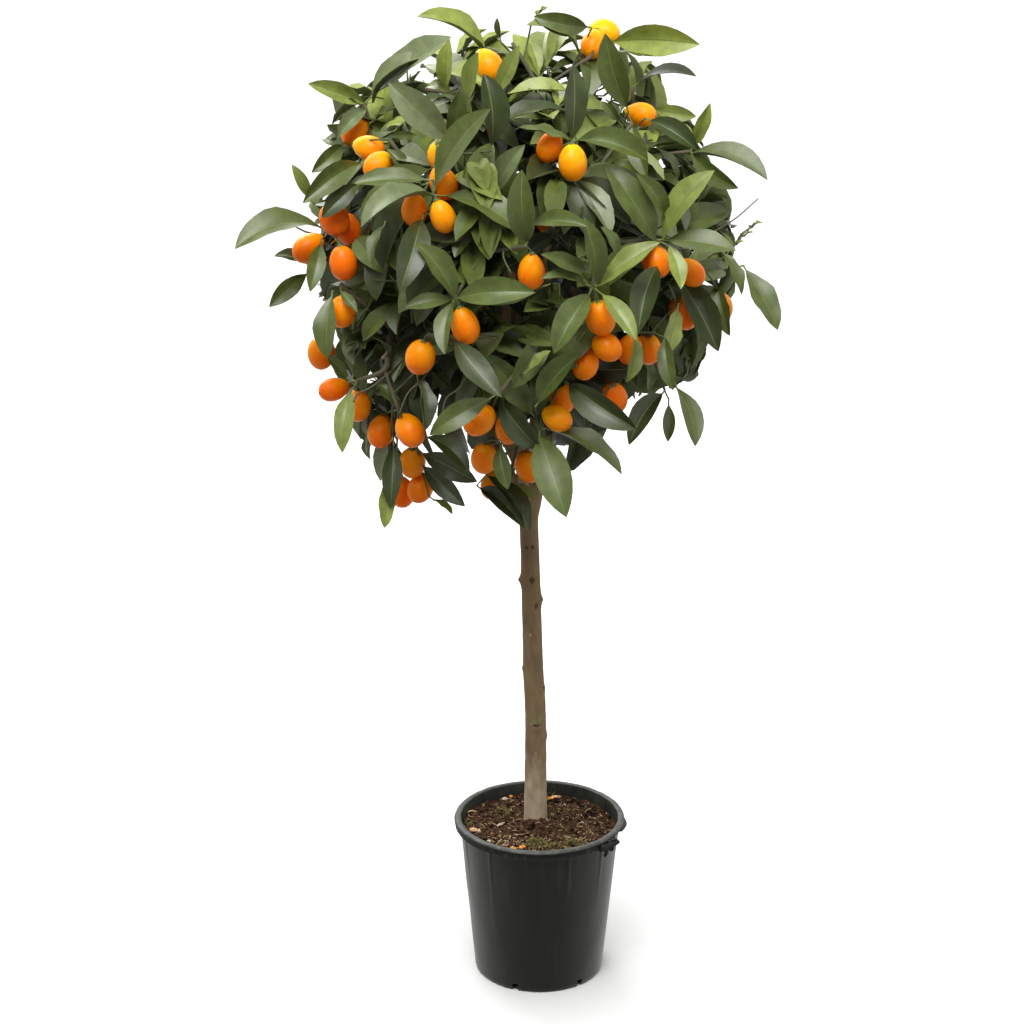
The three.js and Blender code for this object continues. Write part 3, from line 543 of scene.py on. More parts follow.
def mottled(name, colour, roughness, pattern, stops, relief, **sockets):
    """A material with its colours dealt along one noise pattern and bumps along another: relief
    holds that pattern, or none for the same one, then the bumps' depth and strength."""
    material = new_material(name, colour, roughness, **sockets)
    spread = noise_of(material, *pattern)
    paint(material, ramp_of(material, spread, stops))
    grain, *depth = relief
    bump_of(material, noise_of(material, *grain) if grain else spread, *depth)
    return material


# Upper-side greens. Young is the new leaves' own lighter green and mid the plain green. The others are
# lit and shaded copies of mid: deep and dark are painted shade, light is painted light and the greyish
# one is a painted sheen.
LEAF_TONES_WITH_PAINTED_LIGHT = {
    "deep": (0.014, 0.021, 0.005),
    "dark": (0.034, 0.050, 0.010),
    "mid": (0.078, 0.106, 0.020),
    "grey": (0.140, 0.172, 0.072),
    "light": (0.180, 0.225, 0.046),
    "young": (0.240, 0.290, 0.052),
}
TONE_NAMES = list(LEAF_TONES_WITH_PAINTED_LIGHT)
# Besides each fruit's own ripeness, red is dealt to fruit that hang in shade among the leaves: painted
# shade.
FRUIT_HUES = {
    "yellow": (0.98, 0.52, 0.002),
    "amber": (0.98, 0.34, 0.001),
    "orange": (0.98, 0.25, 0.001),
    "red": (0.86, 0.15, 0.002),
}
HUE_NAMES = list(FRUIT_HUES)
RIPE_STEPS = 7  # between one hue and the next
# Painted light: each fruit's rind steps yellower towards the lit stalk end and redder towards the
# shaded tip.
PAINTED_LIGHT_SPREAD = 8  # steps from the stalk to the tip
PAINTED_LIGHT_MIDDLE = 0.45  # where along it a fruit has its own hue
RIPE_LAST = RIPE_STEPS * (len(FRUIT_HUES) - 1)


def leaf_materials():
    """The upper side in each tone, then the underside, rib, margin and petiole."""
    uppers = [
        mottled(
            f"leaf_{name}", colour, 0.42, (90, 2),
            [(0.3, shaded(colour, 0.82)), (0.7, shaded(colour, 1.18))],
            ((420, 3), 0.25, 0.5), Specular_IOR_Level=0.55,
        )
        for name, colour in LEAF_TONES_WITH_PAINTED_LIGHT.items()
    ]
    return uppers + [
        new_material("leaf_underside", (0.120, 0.155, 0.060), 0.6),
        new_material("leaf_rib", (0.125, 0.165, 0.045), 0.5),
        new_material("leaf_margin", (0.165, 0.205, 0.075), 0.5),
        new_material("petiole", (0.150, 0.200, 0.040), 0.5),
    ]


UNDERSIDE_LOOK = len(LEAF_TONES_WITH_PAINTED_LIGHT)
RIB_LOOK = UNDERSIDE_LOOK + 1
MARGIN_LOOK = UNDERSIDE_LOOK + 2
PETIOLE_LOOK = UNDERSIDE_LOOK + 3


def twig_materials():
    """In the order of WOOD_LOOK and GREEN_LOOK."""
    wood = new_material("twig_wood", (0.095, 0.082, 0.045), 0.8)
    bump_of(wood, noise_of(wood, 600, 3, (1, 1, 0.3)), 0.4)
    green = new_material("twig_green", (0.060, 0.088, 0.026), 0.6)
    return [wood, green]


WOOD_LOOK = 0
GREEN_LOOK = 1


def fruit_materials():
    """The rind from yellow to red in even steps, then the calyx and the scar."""
    materials = []
    hues = np.array(list(FRUIT_HUES.values()))
    for step in range(RIPE_LAST + 1):
        red, green, blue = (
            float(np.interp(step / RIPE_STEPS, np.arange(len(hues)), hues[:, i])) for i in range(3)
        )
        materials.append(mottled(
            f"rind_{step}", (red, green, blue), 0.34, (38, 2),
            [(0.35, (red, green * 0.88, blue)), (0.68, (red, green * 1.2, blue))],
            ((900, 2), 0.3, 0.5), Specular_IOR_Level=0.2, Subsurface_Weight=0.75,
            Subsurface_Scale=0.013, Subsurface_Radius=(1.0, 0.4, 0.1),
        ))
    materials.append(new_material("calyx", (0.10, 0.13, 0.035), 0.6))
    materials.append(new_material("style_scar", (0.07, 0.035, 0.012), 0.7))
    return materials


CALYX_LOOK = RIPE_LAST + 1
SCAR_LOOK = CALYX_LOOK + 1


# ---- the crown's plan, by the source's rule ----

def trunk_point(share):
    """A point on the trunk's centre line, a centripetal curve through its course."""
    count = len(TRUNK_COURSE) - 1
    i = min(int(share * count), count - 1)
    local = share * count - i
    p1, p2 = TRUNK_COURSE[i], TRUNK_COURSE[i + 1]
    p0 = TRUNK_COURSE[i - 1] if i > 0 else 2 * p1 - p2
    p3 = TRUNK_COURSE[i + 2] if i + 2 <= count else 2 * p2 - p1
    d0, d1, d2 = (math.sqrt((b - a).length) for a, b in ((p0, p1), (p1, p2), (p2, p3)))
    slope1 = ((p1 - p0) / d0 - (p2 - p0) / (d0 + d1) + (p2 - p1) / d1) * d1
    slope2 = ((p2 - p1) / d1 - (p3 - p1) / (d1 + d2) + (p3 - p2) / d2) * d1
    cubic = 2 * (p1 - p2) + slope1 + slope2
    square = 3 * (p2 - p1) - 2 * slope1 - slope2
    return p1 + local * (slope1 + local * (square + local * cubic))


def trunk_ahead(share):
    low, high = max(0, share - 0.0001), min(1, share + 0.0001)
    return (trunk_point(high) - trunk_point(low)).normalized()


class Mass:
    """A mass of foliage: its own heart, and the course of the bough that carries it."""

    def __init__(self, name, heart, start, bend, end):
        self.name = name
        self.heart = heart
        self.start = start
        self.bend = bend
        self.end = end

    def course(self, share):
        """A point on the bough, from its foot at 0 to its end at 1."""
        return (
            self.start * (1 - share) ** 2 + self.bend * 2 * share * (1 - share)
            + self.end * share**2
        )

    def direction(self):
        return (self.end - self.bend).normalized()


def mass_plan():
    """The top mass on the trunk's leader, then the rings of masses, each on its own bough."""
    foot = trunk_point(1) + trunk_ahead(1) * CLEARANCE
    plan = [Mass(
        "top", CROWN_HEART + UP * HEART_REACH, foot, foot + trunk_ahead(1) * BOUGH_END,
        CROWN_HEART + UP * BOUGH_END / 2,
    )]
    for name, count, bearing, height, lowest, bend in MASS_RINGS:
        for i in range(count):
            outward = heading(bearing + i * 360 / count, height)
            up = lowest + (2 * i % count) * BOUGH_STAGGER
            start = trunk_point((up - TRUNK_FOOT) / (TRUNK_COURSE[-1].z - TRUNK_FOOT))
            end = CROWN_HEART + outward * BOUGH_END
            knee = Vector((end.x, end.y, start.z + (end.z - start.z) * bend))
            heart = CROWN_HEART + outward * HEART_REACH
            plan.append(Mass(f"{name}_{i + 1}", heart, start, knee, end))
    return plan


TOWARDS_CROWN = (CROWN_HEART - EYE).normalized()
VIEW_RIGHT = TOWARDS_CROWN.cross(UP).normalized()
VIEW_UP = VIEW_RIGHT.cross(TOWARDS_CROWN)


def on_crown(across, up, reach):
    """Where a line of sight first meets a ball round the crown's heart, or passes nearest."""
    sight = (CROWN_HEART + VIEW_RIGHT * across + VIEW_UP * up - EYE).normalized()
    nearest = (CROWN_HEART - EYE).dot(sight)
    miss = (EYE + sight * nearest - CROWN_HEART).length
    return EYE + sight * (nearest - math.sqrt(max(0, reach * reach - miss * miss)))


def seen(point):
    """Across, up and how far in front of the crown's heart the camera sees a point."""
    ray = point - EYE
    depth = ray.dot(TOWARDS_CROWN)
    distance = (CROWN_HEART - EYE).length
    scale = distance / depth
    return ray.dot(VIEW_RIGHT) * scale, ray.dot(VIEW_UP) * scale, distance - depth


class Shoot:
    """The end of a twig: its place, and the leaves and fruit on it."""

    def __init__(self, at, front, fruit, leaves=(), turn=0):
        self.at = self.wanted = at
        self.front = front
        self.fruit = fruit
        self.leaves = leaves
        self.turn = turn
        self.mass = None
        self.foot = None
        self.axis = None

    def settle(self, plan):
        """Gives the shoot to the nearest mass, and moves it into that mass's own space."""
        self.mass = min(plan, key=lambda mass: (mass.heart - self.at).length)
        self.at = kept(self.at, self.mass, plan, TWIG_MARGIN)
        outward = (self.at - CROWN_HEART).normalized()
        towards = (EYE - self.at).normalized()
        self.axis = outward.lerp(towards, FRONT_LEAN).normalized() if self.front else outward


def front_shoots():
    return [
        Shoot(
            on_crown(across, up, CROWN_REACH), True,
            [(on_crown(across + aside, up + above, FRUIT_REACH), hue, lean)
             for aside, above, hue, *lean in fruit],
            leaves,
        )
        for across, up, leaves, fruit in FRONT_SHOOTS
    ]


def fill_shoots(front):
    """The rest of the crown: evenly spread round the ball, some of them inside it."""
    draw = seeded(SEED)
    taken = [(shoot.at - CROWN_HEART).normalized() for shoot in front]
    shoots = []
    for i in range(FILL_SHOOTS):
        height = math.degrees(math.asin(1 - (2 * i + 1) / FILL_SHOOTS))
        aside = (draw() - 0.5) * FILL_WANDER
        outward = heading(i * GOLDEN_TURN + aside, height + (draw() - 0.5) * FILL_WANDER)
        inner = draw() < INNER_SHARE
        under = smoothstep(-outward.z, UNDERSIDE_FROM, UNDERSIDE_TO)
        uneven = 1 + (draw() - 0.5) * FILL_UNEVEN
        reach = CROWN_REACH * (1 - UNDERSIDE_SHRINK * under) * uneven
        crowded = any(other.angle(outward) < math.radians(FILL_SPACING) for other in taken)
        turn = draw() * 360
        if height > LOWEST_SHOOT and (inner or not crowded):
            at = CROWN_HEART + outward * reach * (INNER_REACH if inner else 1)
            for _ in range(LEAVES_PER_SHOOT):
                draw()  # the source draws here for its leaves
            hung = at - UP * FRUIT_HANG + outward * FRUIT_OUT
            behind = seen(at)[2] < 0
            fruit = [
                (hung + heading(turn + 150 * j, 0) * FRUIT_SWING * (1 + j), hue, [])
                for j, hue in enumerate(FILL_FRUIT[i % FRUIT_EVERY]) if behind and not inner
            ]
            shoots.append(Shoot(at, False, fruit, turn=turn))
    return shoots


def room_at(point, mass, plan):
    """How far a point lies inside its mass's own space, nearer to that heart than to any other."""
    own = (point - mass.heart).length_squared
    return min(
        ((point - other.heart).length_squared - own) / (2 * (other.heart - mass.heart).length)
        for other in plan if other is not mass
    )


def kept(point, mass, plan, margin):
    """A point moved away from its mass's neighbours until it has the margin it needs."""
    moved = point.copy()
    for _ in range(3):
        for other in plan:
            if other is mass:
                continue
            away = mass.heart - other.heart
            apart = away.length
            gain = (moved - other.heart).length_squared - (moved - mass.heart).length_squared
            inside = gain / (2 * apart)
            if inside < margin:
                moved += away * ((margin - inside) / apart)
    return moved


def branch(grown, shoots, draw, limbs):
    """A limb divides in two again and again, to one shoot each; the larger half carries it on."""
    start = grown[-1][0]
    if len(shoots) == 1:
        shoots[0].foot = start
        limbs.append([*grown, (shoots[0].at, SHOOT_RADIUS)])
        return
    middle = mean([shoot.at for shoot in shoots])
    wander = Vector((draw() - 0.5, draw() - 0.5, draw() - 0.5))
    knee = start.lerp(middle, KNEE_SHARE) + wander * KNEE_WANDER
    radius = SHOOT_RADIUS * math.sqrt(len(shoots))
    leaders = [shoots[0], shoots[1]]
    for one in shoots:
        for other in shoots:
            widest = (leaders[0].at - leaders[1].at).length
            if (one.at - other.at).length > widest + 1e-6:
                leaders = [one, other]
    first, second = leaders
    near = [s for s in shoots if (s.at - first.at).length <= (s.at - second.at).length]
    far = [s for s in shoots if s not in near]
    larger, smaller = (near, far) if len(near) >= len(far) else (far, near)
    branch([*grown, (knee, radius)], larger, draw, limbs)
    side_radius = min(radius / 2, SHOOT_RADIUS * math.sqrt(len(smaller)))
    branch([(knee, side_radius)], smaller, draw, limbs)


# ---- leaves ----

def leaf_outline(share):
    """Half the width at a share of the length, as a share of the widest."""
    return share * (1 - share) ** 0.92 / (0.521 * 0.479**0.92)


class Leaves:
    """Leaves of one mass, all made at once: each has its own bends and ripples."""

    def __init__(self, seed, reach, stations, top, under):
        self.draw = seeded(seed)
        self.reach = reach
        self.stations = stations
        self.across = np.array(top + under)
        self.top = len(top)
        self.rows = []

    def add(self, foot, root, tip, face, tone, shown=None):
        """A petiole from its foot on a twig to its root, and a blade to its tip. Face is the way
        its upper side looks; shown is its length as the camera sees it, where that sets its
        width."""
        draw = self.draw
        width = (shown or (tip - root).length) * LEAF_HALF_WIDTH * (0.86 + 0.28 * draw())
        arch = 0.04 + 0.13 * draw()  # how far its middle rises, as a share of the length
        fold = 0.25 + 0.6 * draw()  # how far its edges rise, as a share of the half width
        wave = (draw() - 0.5) * 5.0  # the ripple of its edges, in millimetres
        phase = draw() * 2 * math.pi
        twist = (draw() - 0.5) * 0.7  # radians from root to tip
        bow = (draw() - 0.5) * 0.08  # how far it bends aside
        self.rows.append([
            *foot, *root, *tip, *face, width, arch, fold, wave, phase, twist, bow,
            TONE_NAMES.index(tone),
        ])

    def fill(self, pile):
        rows = np.array(self.rows)
        foot, root, tip, face = rows[:, 0:3], rows[:, 3:6], rows[:, 6:9], rows[:, 9:12]
        width, arch, fold, wave, phase, twist, bow, tone = rows[:, 12:20].T
        chord = tip - root
        length = np.linalg.norm(chord, axis=1)
        along = chord / length[:, None]
        face = face - along * np.sum(face * along, axis=1)[:, None]
        face /= np.linalg.norm(face, axis=1)[:, None]
        side = np.cross(face, along)
        v = self.across[None, :]
        under = np.arange(len(self.across)) >= self.top
        rings = [self.stalk_ring(foot, face, side, under)]
        for share in self.stations:
            rise = 4 * share * (1 - share)
            middle = root + chord * share + face * (arch * length * rise)[:, None]
            middle += side * (bow * length * rise)[:, None]
            half = np.maximum(width * leaf_outline(share), PETIOLE_RADIUS * (1 - 0.7 * share))
            turned = (twist * (share - 0.4))[:, None]
            lean = (arch * 4 * (1 - 2 * share))[:, None]
            raised = face - along * lean
            out = side * np.cos(turned) + raised * np.sin(turned)
            lift = raised * np.cos(turned) - side * np.sin(turned)
            ripple = (wave * rise)[:, None] * v**2 * np.sin(phase[:, None] + 14 * share + 2 * v)
            thick = np.where(np.abs(v) < 0.1, RIB_THICK * (1.2 - share), LEAF_THICK)
            height = (half * fold)[:, None] * np.abs(v) ** 1.25 + ripple
            height = height - np.where(under, thick, 0)
            flat = half[:, None] * v
            ring = middle[:, None, :] + out[:, None, :] * flat[:, :, None]
            rings.append(ring + lift[:, None, :] * height[:, :, None])
        places = np.stack(rings, axis=1)
        sides = len(self.across)
        faces = ring_faces(len(rings), sides)
        # Both sides split along the same diagonal, so that neither pokes through the other.
        beneath = np.arange(len(faces)) % sides >= self.top
        faces[beneath] = np.roll(faces[beneath], 1, axis=1)
        starts = np.arange(len(rows)) * len(rings) * sides
        looks = self.face_looks(len(rings))
        pile.add(
            places.reshape(-1, 3),
            (faces[None] + starts[:, None, None]).reshape(-1, 4),
            np.where(looks[None] < 0, tone[:, None], looks[None]).reshape(-1),
        )

    def stalk_ring(self, foot, face, side, under):
        flat = np.where(under, -PETIOLE_RADIUS, PETIOLE_RADIUS * 0.5)
        out = side[:, None, :] * (self.across * PETIOLE_RADIUS)[None, :, None]
        return foot[:, None, :] + out + face[:, None, :] * flat[None, :, None]

    def face_looks(self, rings):
        """The material of each face of a leaf; -1 stands for the leaf's own tone."""
        ends = list(zip(self.across, np.roll(self.across, -1)))
        around = []
        for i, (one, other) in enumerate(ends):
            rib = max(abs(one), abs(other)) < 0.1
            margin = min(abs(one), abs(other)) > 0.9 and one * other > 0
            blade = -1 if i < self.top - 1 else UNDERSIDE_LOOK
            around.append(RIB_LOOK if rib else MARGIN_LOOK if margin else blade)
        cap = len(ends) // 2 - 1
        looks = [PETIOLE_LOOK] * len(ends) + around * (rings - 2)
        return np.array(looks + [PETIOLE_LOOK] * cap + [MARGIN_LOOK] * cap)


# ---- twigs and fruit ----

def add_limb(pile, knots, sides, look=WOOD_LOOK):
    """A twig through knots of place and radius, smooth and tapering."""
    course = smooth_course([knot[0] for knot in knots], LIMB_STEPS)
    at_knots = np.arange(len(knots)) * LIMB_STEPS
    radii = np.interp(np.arange(len(course)), at_knots, [knot[1] for knot in knots])
    pile.add(sweep(course, radii, sides), ring_faces(len(course), sides), look)


def fruit_profile(share):
    """Half the width of a fruit at a share of its length, as a share of the widest."""
    return 2 * math.sqrt(share * (1 - share))


def add_fruit(pile, fruit):
    """A fruit that hangs from its top, with its calyx and the scar at its end."""
    hang, width, length = fruit.hang, fruit.width, fruit.length
    top = fruit.middle - hang * length / 2
    side = any_across(hang)
    across = hang.cross(side)
    angles = np.arange(FRUIT_SIDES) * 2 * math.pi / FRUIT_SIDES
    out = np.cos(angles)[:, None] * np.array(side) + np.sin(angles)[:, None] * np.array(across)

    def ring(down, radius):
        return np.array(top + hang * down) + out * np.reshape(radius, (-1, 1))

    shares = (1 - np.cos(np.linspace(0.12, math.pi - 0.1, FRUIT_RINGS))) / 2
    body = [
        ring(share * length, width / 2 * fruit_profile(share**fruit.pear)) for share in shares
    ]
    # The rings step from yellower at the top to redder at the tip: painted light and shade.
    ripe = HUE_NAMES.index(fruit.hue) * RIPE_STEPS
    painted_light_bands = np.clip(np.rint(ripe + PAINTED_LIGHT_SPREAD * (shares[:-1] - PAINTED_LIGHT_MIDDLE)), 0, RIPE_LAST)
    ends = np.repeat(painted_light_bands[[0, -1]], FRUIT_SIDES // 2 - 1)
    looks = np.concatenate([np.repeat(painted_light_bands, FRUIT_SIDES), ends])
    pile.add(np.vstack(body), ring_faces(FRUIT_RINGS, FRUIT_SIDES), looks)
    lobes = 3.4 + 1.2 * np.cos(5 * angles)
    calyx = [ring(-1.2, 1.4), ring(-0.9, 2.2), ring(0.25, lobes), ring(0.9, lobes * 0.8)]
    pile.add(np.vstack(calyx), ring_faces(len(calyx), FRUIT_SIDES), CALYX_LOOK)
    scar = [ring(length - 0.6, 1.0), ring(length + 0.1, 0.9)]
    pile.add(np.vstack(scar), ring_faces(len(scar), FRUIT_SIDES), SCAR_LOOK)


# ---- growing a mass ----

class Fruit:
    """A fruit's shoot, middle, way of hanging, hue, size, and from 0 to 1 how pear-shaped."""

    def __init__(self, shoot, middle, hang, hue, size, pear):
        self.shoot = shoot
        self.middle = middle
        self.hang = hang
        self.hue = hue
        self.width = FRUIT_WIDTH * size * (1.06 - 0.12 * pear)
        self.length = FRUIT_LENGTH * size * (0.95 + 0.1 * pear)
        self.pear = 0.92 + 0.36 * pear
        self.seen = seen(middle)
        self.outward = (middle - CROWN_HEART).normalized()

    def is_met_by(self, point):
        """Whether a point touches the fruit, or stands before it: for the camera if it is on a
        front shoot, and otherwise for anyone who looks from outside the crown."""
        off = point - self.middle
        if off.length < FRUIT_CLEAR:
            return True
        if self.shoot.front:
            across, up, near = (a - b for a, b in zip(seen(point), self.seen))
            return near > 0 and math.hypot(across, up) < FRUIT_SHOWS
        ahead = off.dot(self.outward)
        return ahead > 0 and (off - self.outward * ahead).length < FRUIT_SHOWS


class Blades:
    """Every leaf laid so far, so that the next one can keep clear of them."""

    def __init__(self):
        self.rows = np.zeros((BLADES_AT_MOST, 13))
        self.count = 0

    def lay(self, root, tip, face):
        chord = tip - root
        along = chord.normalized()
        flat = (face - along * face.dot(along)).normalized()
        self.rows[self.count] = [*root, *along, *flat, *flat.cross(along), chord.length]
        self.count += 1

    def clear(self, points, margin):
        """Whether a run of points crosses no leaf, and stays a little off each."""
        laid = self.rows[:self.count]
        near = np.abs(laid[:, :3] - np.array(points[0])).max(axis=1) < BLADE_NEAR
        laid = laid[near]
        off = np.array(points)[:, None, :] - laid[:, :3]
        length = laid[:, 12]
        share = np.sum(off * laid[:, 3:6], axis=2) / length
        over = np.sum(off * laid[:, 6:9], axis=2)
        across = np.abs(np.sum(off * laid[:, 9:12], axis=2))
        half = length * LEAF_HALF_WIDTH * 4 * share * (1 - share) + margin
        on_blade = (share > 0) & (share < 1) & (across < half)
        crossed = on_blade[:-1] & on_blade[1:] & (over[:-1] * over[1:] < 0)
        return not (crossed.any() or (on_blade & (np.abs(over) < margin)).any())


class Crown:
    """What every mass needs to know: the plan, and the limbs that nothing may touch."""

    def __init__(self):
        self.plan = mass_plan()
        front = front_shoots()
        self.shoots = [*front, *fill_shoots(front)]
        for shoot in self.shoots:
            shoot.settle(self.plan)
        trunk = [trunk_point(i / 60) for i in range(61)]
        boughs = [mass.course(i / 20) for mass in self.plan for i in range(21)]
        self.limb_points = np.array(trunk + boughs)
        self.limb_radii = np.array([TRUNK_FOOT_RADIUS] * len(trunk)
                                   + [BOUGH_FOOT_RADIUS] * len(boughs))
        self.sprays = spray_ends(self)
        self.front_leaves = [
            leaf for shoot in self.shoots if shoot.front for leaf in lay_out(shoot)
        ]
        self.blades = Blades()
        for leaf in self.front_leaves:
            self.blades.lay(leaf.root, leaf.tip, leaf.face)
        self.fruit = []
        for shoot in self.shoots:
            self.hang_fruit(shoot)

    def hang_fruit(self, shoot):
        """Each fruit hangs by its shoot, farther or nearer where it would touch another."""
        draw = seeded(SEED + 200 + len(self.fruit))
        for wanted, hue, lean in shoot.fruit:
            middle = self.place_for_fruit(shoot, wanted)
            if not middle:
                continue
            swing = Vector((draw() - 0.5, draw() - 0.5, 0)) * 0.7
            hang = ((middle - shoot.at).normalized() * 0.35 + swing - UP).normalized()
            for turn in lean:
                turned = math.radians(turn)
                hang = VIEW_RIGHT * math.sin(turned) - VIEW_UP * math.cos(turned)
                hang = (hang - TOWARDS_CROWN * 0.5).normalized()
            size = FRUIT_LEAST + (1 - FRUIT_LEAST) * draw()
            self.fruit.append(Fruit(shoot, middle, hang, hue, size, draw()))

    def place_for_fruit(self, shoot, wanted):
        """The first free place from a little behind the wanted one, along the line of sight:
        farther back if there is one, else nearer."""
        sight = (wanted - EYE).normalized()
        for back in [*range(FRUIT_TUCK, FRUIT_BACK, 3), *range(FRUIT_TUCK, -FRUIT_FORWARD, -2)]:
            middle = wanted + sight * back
            if (middle - shoot.at).length > FRUIT_OFF and self.free_for_fruit(middle):
                return middle
        return None

    def free_for_fruit(self, middle):
        leaf_points = (point for leaf in self.front_leaves for point in leaf.spread)
        return (
            all((middle - other.middle).length > FRUIT_APART for other in self.fruit)
            and all((middle - point).length > FRUIT_CLEAR for point in leaf_points)
        )

    def leaves_fruit_be(self, points):
        """Whether points stay clear of every fruit, and hide none."""
        return not any(fruit.is_met_by(point) for fruit in self.fruit for point in points)

    def clear_of_limbs(self, point):
        apart = np.linalg.norm(self.limb_points - np.array(point), axis=1)
        return bool(np.all(apart > self.limb_radii + LIMB_MARGIN))

    def allows(self, point, mass, reach):
        """Whether a finer twig or leaf may reach a point; reach is its limit off the outline."""
        across, up, near = seen(point)
        apart = math.hypot(across, up)
        angle = math.degrees(math.atan2(up, across)) % 360
        steps = np.arange(len(OUTLINE) + 1) * OUTLINE_STEP
        edge = np.interp(angle, steps, [*OUTLINE, OUTLINE[0]])
        ragged = noise.noise(Vector((across, up, 0)) / (NOTCH_WIDTH * apart + 1)) + 0.5
        if apart > edge - OUTLINE_MARGIN - RAGGED_EDGE * ragged:
            return False
        if near > math.sqrt(max(0, INNER_FRONT**2 - apart**2)) + EDGE_SLACK:
            return False
        for sky_across, sky_up, wide, high in SKY:
            if ((across - sky_across) / wide) ** 2 + ((up - sky_up) / high) ** 2 < SKY_MARGIN:
                return False
        distance = (point - CROWN_HEART).length
        if distance > CROWN_EDGE - EDGE_SLACK:
            return False
        if distance > reach and abs(near) > OUTLINE_BAND:
            return False
        return room_at(point, mass, self.plan) > -SHARED_ROOM


SHADE_TONES = [(0.62, "deep"), (0.9, "dark"), (1.16, "mid")]
YOUNG_FROM = 1.34


def tone_with_painted_light(point, draw):
    """Painted shade and light: leaves nearer the crown's heart and lower down get darker tones, those
    on the left more often the greyish painted sheen, and a few of the outermost and highest the young
    green.
    """
    depth = (point - CROWN_HEART).length / CROWN_REACH
    lit = depth + 0.2 * (point.z - CROWN_HEART.z) / CROWN_REACH + (draw() - 0.5) * 0.6
    for darker_than, tone in SHADE_TONES:
        if lit < darker_than:
            return tone
    if lit < YOUNG_FROM:
        return "grey" if draw() < 0.5 - (point.x - CROWN_HEART.x) / 400 else "light"
    return "young"


class FrontLeaf:
    """A front shoot's leaf: its root, its tip, the way it faces, its tone, and points over it."""

    def __init__(self, shoot, root, tip, face, tone, shown):
        self.shoot = shoot
        self.root = root
        self.tip = tip
        self.tone = tone
        self.shown = shown
        along = (tip - root).normalized()
        self.face = (face - along * face.dot(along)).normalized()
        half = self.face.cross(along) * shown * LEAF_HALF_WIDTH
        self.spread = [
            root.lerp(tip, share) + half * across
            for share in (0.2, 0.35, 0.5, 0.65, 0.8, 0.95)
            for across in (-0.8, 0, 0.8)
        ]


def lay_out(shoot):
    """A front shoot's own leaves, as the camera sees them."""
    across, up, _ = seen(shoot.wanted)
    draw = seeded(SEED + round(across) + 1000 * round(up))
    leaves = []
    for aside, above, turn, length, tone in shoot.leaves:
        root = on_crown(across + aside, up + above, CROWN_REACH)
        if math.hypot(aside, above) < OWN_ROOT:
            root = shoot.wanted + VIEW_RIGHT * aside + VIEW_UP * above
        turned = math.radians(turn)
        flat = VIEW_RIGHT * math.cos(turned) + VIEW_UP * math.sin(turned)
        tip = root + (flat - TOWARDS_CROWN * (0.1 + 0.5 * draw())) * length
        away = tip - CROWN_HEART
        if away.length > FRONT_EDGE:
            tip = CROWN_HEART + away * (FRONT_EDGE / away.length)
        beyond = smoothstep(math.hypot(across, up), 120, 210)
        roll = (draw() - 0.5) * (0.9 + 0.6 * beyond)
        along = (tip - root).normalized()
        face = VIEW_UP * (0.3 + 0.4 * draw()) - TOWARDS_CROWN
        face = Quaternion(along, roll) @ (face - along * face.dot(along))
        leaves.append(FrontLeaf(shoot, root, tip, face, tone, length))
    return leaves


def grow_front_leaf(leaf, leaves, twigs):
    """A laid-out leaf joins its shoot's twig, by a twig of its own where it stands far off."""
    foot = leaf.shoot.at
    if (leaf.root - foot).length > OWN_TWIG:
        foot = leaf.root + (leaf.root - leaf.tip).normalized() * OWN_PETIOLE
        inner = leaf.shoot.foot.lerp(leaf.shoot.at, 0.6)
        bow = foot.lerp(inner, 0.4) + TOWARDS_CROWN * 0.4 * (foot - inner).length
        knots = [(inner, SPRAY_RADIUS), (bow, SPRAY_RADIUS * 0.9), (foot, SPRAY_RADIUS * 0.8)]
        add_limb(twigs, knots, TWIG_SIDES, GREEN_LOOK)
    leaves.add(foot, leaf.root, leaf.tip, leaf.face, leaf.tone, leaf.shown)


def spray_ends(crown):
    """Where finer sprays end: evenly spread over shells round the crown's heart."""
    draw = seeded(SEED + 50)
    ends = []
    for reach, spacing, leaves, stands_out in SPRAY_SHELLS:
        count = round(4 * math.pi * reach**2 / spacing**2)
        for i in range(count):
            height = math.degrees(math.asin(1 - (2 * i + 1) / count))
            outward = heading(
                i * GOLDEN_TURN + reach + (draw() - 0.5) * SPRAY_WANDER,
                height + (draw() - 0.5) * SPRAY_WANDER,
            )
            end = CROWN_HEART + outward * reach * (1 + (draw() - 0.5) * SPRAY_UNEVEN)
            crowded = stands_out and (
                seen(end)[2] > ROSETTE_FRONT
                or any((shoot.at - end).length < ROSETTE_APART for shoot in crown.shoots)
            )
            if height > SPRAY_LOWEST and not crowded:
                mass = min(crown.plan, key=lambda mass: (mass.heart - end).length)
                ends.append((mass, end, leaves, stands_out))
    return ends


def leaf_run(at, root, tip):
    return [at, *(root.lerp(tip, share) for share in (0, 0.25, 0.5, 0.75, 1))]


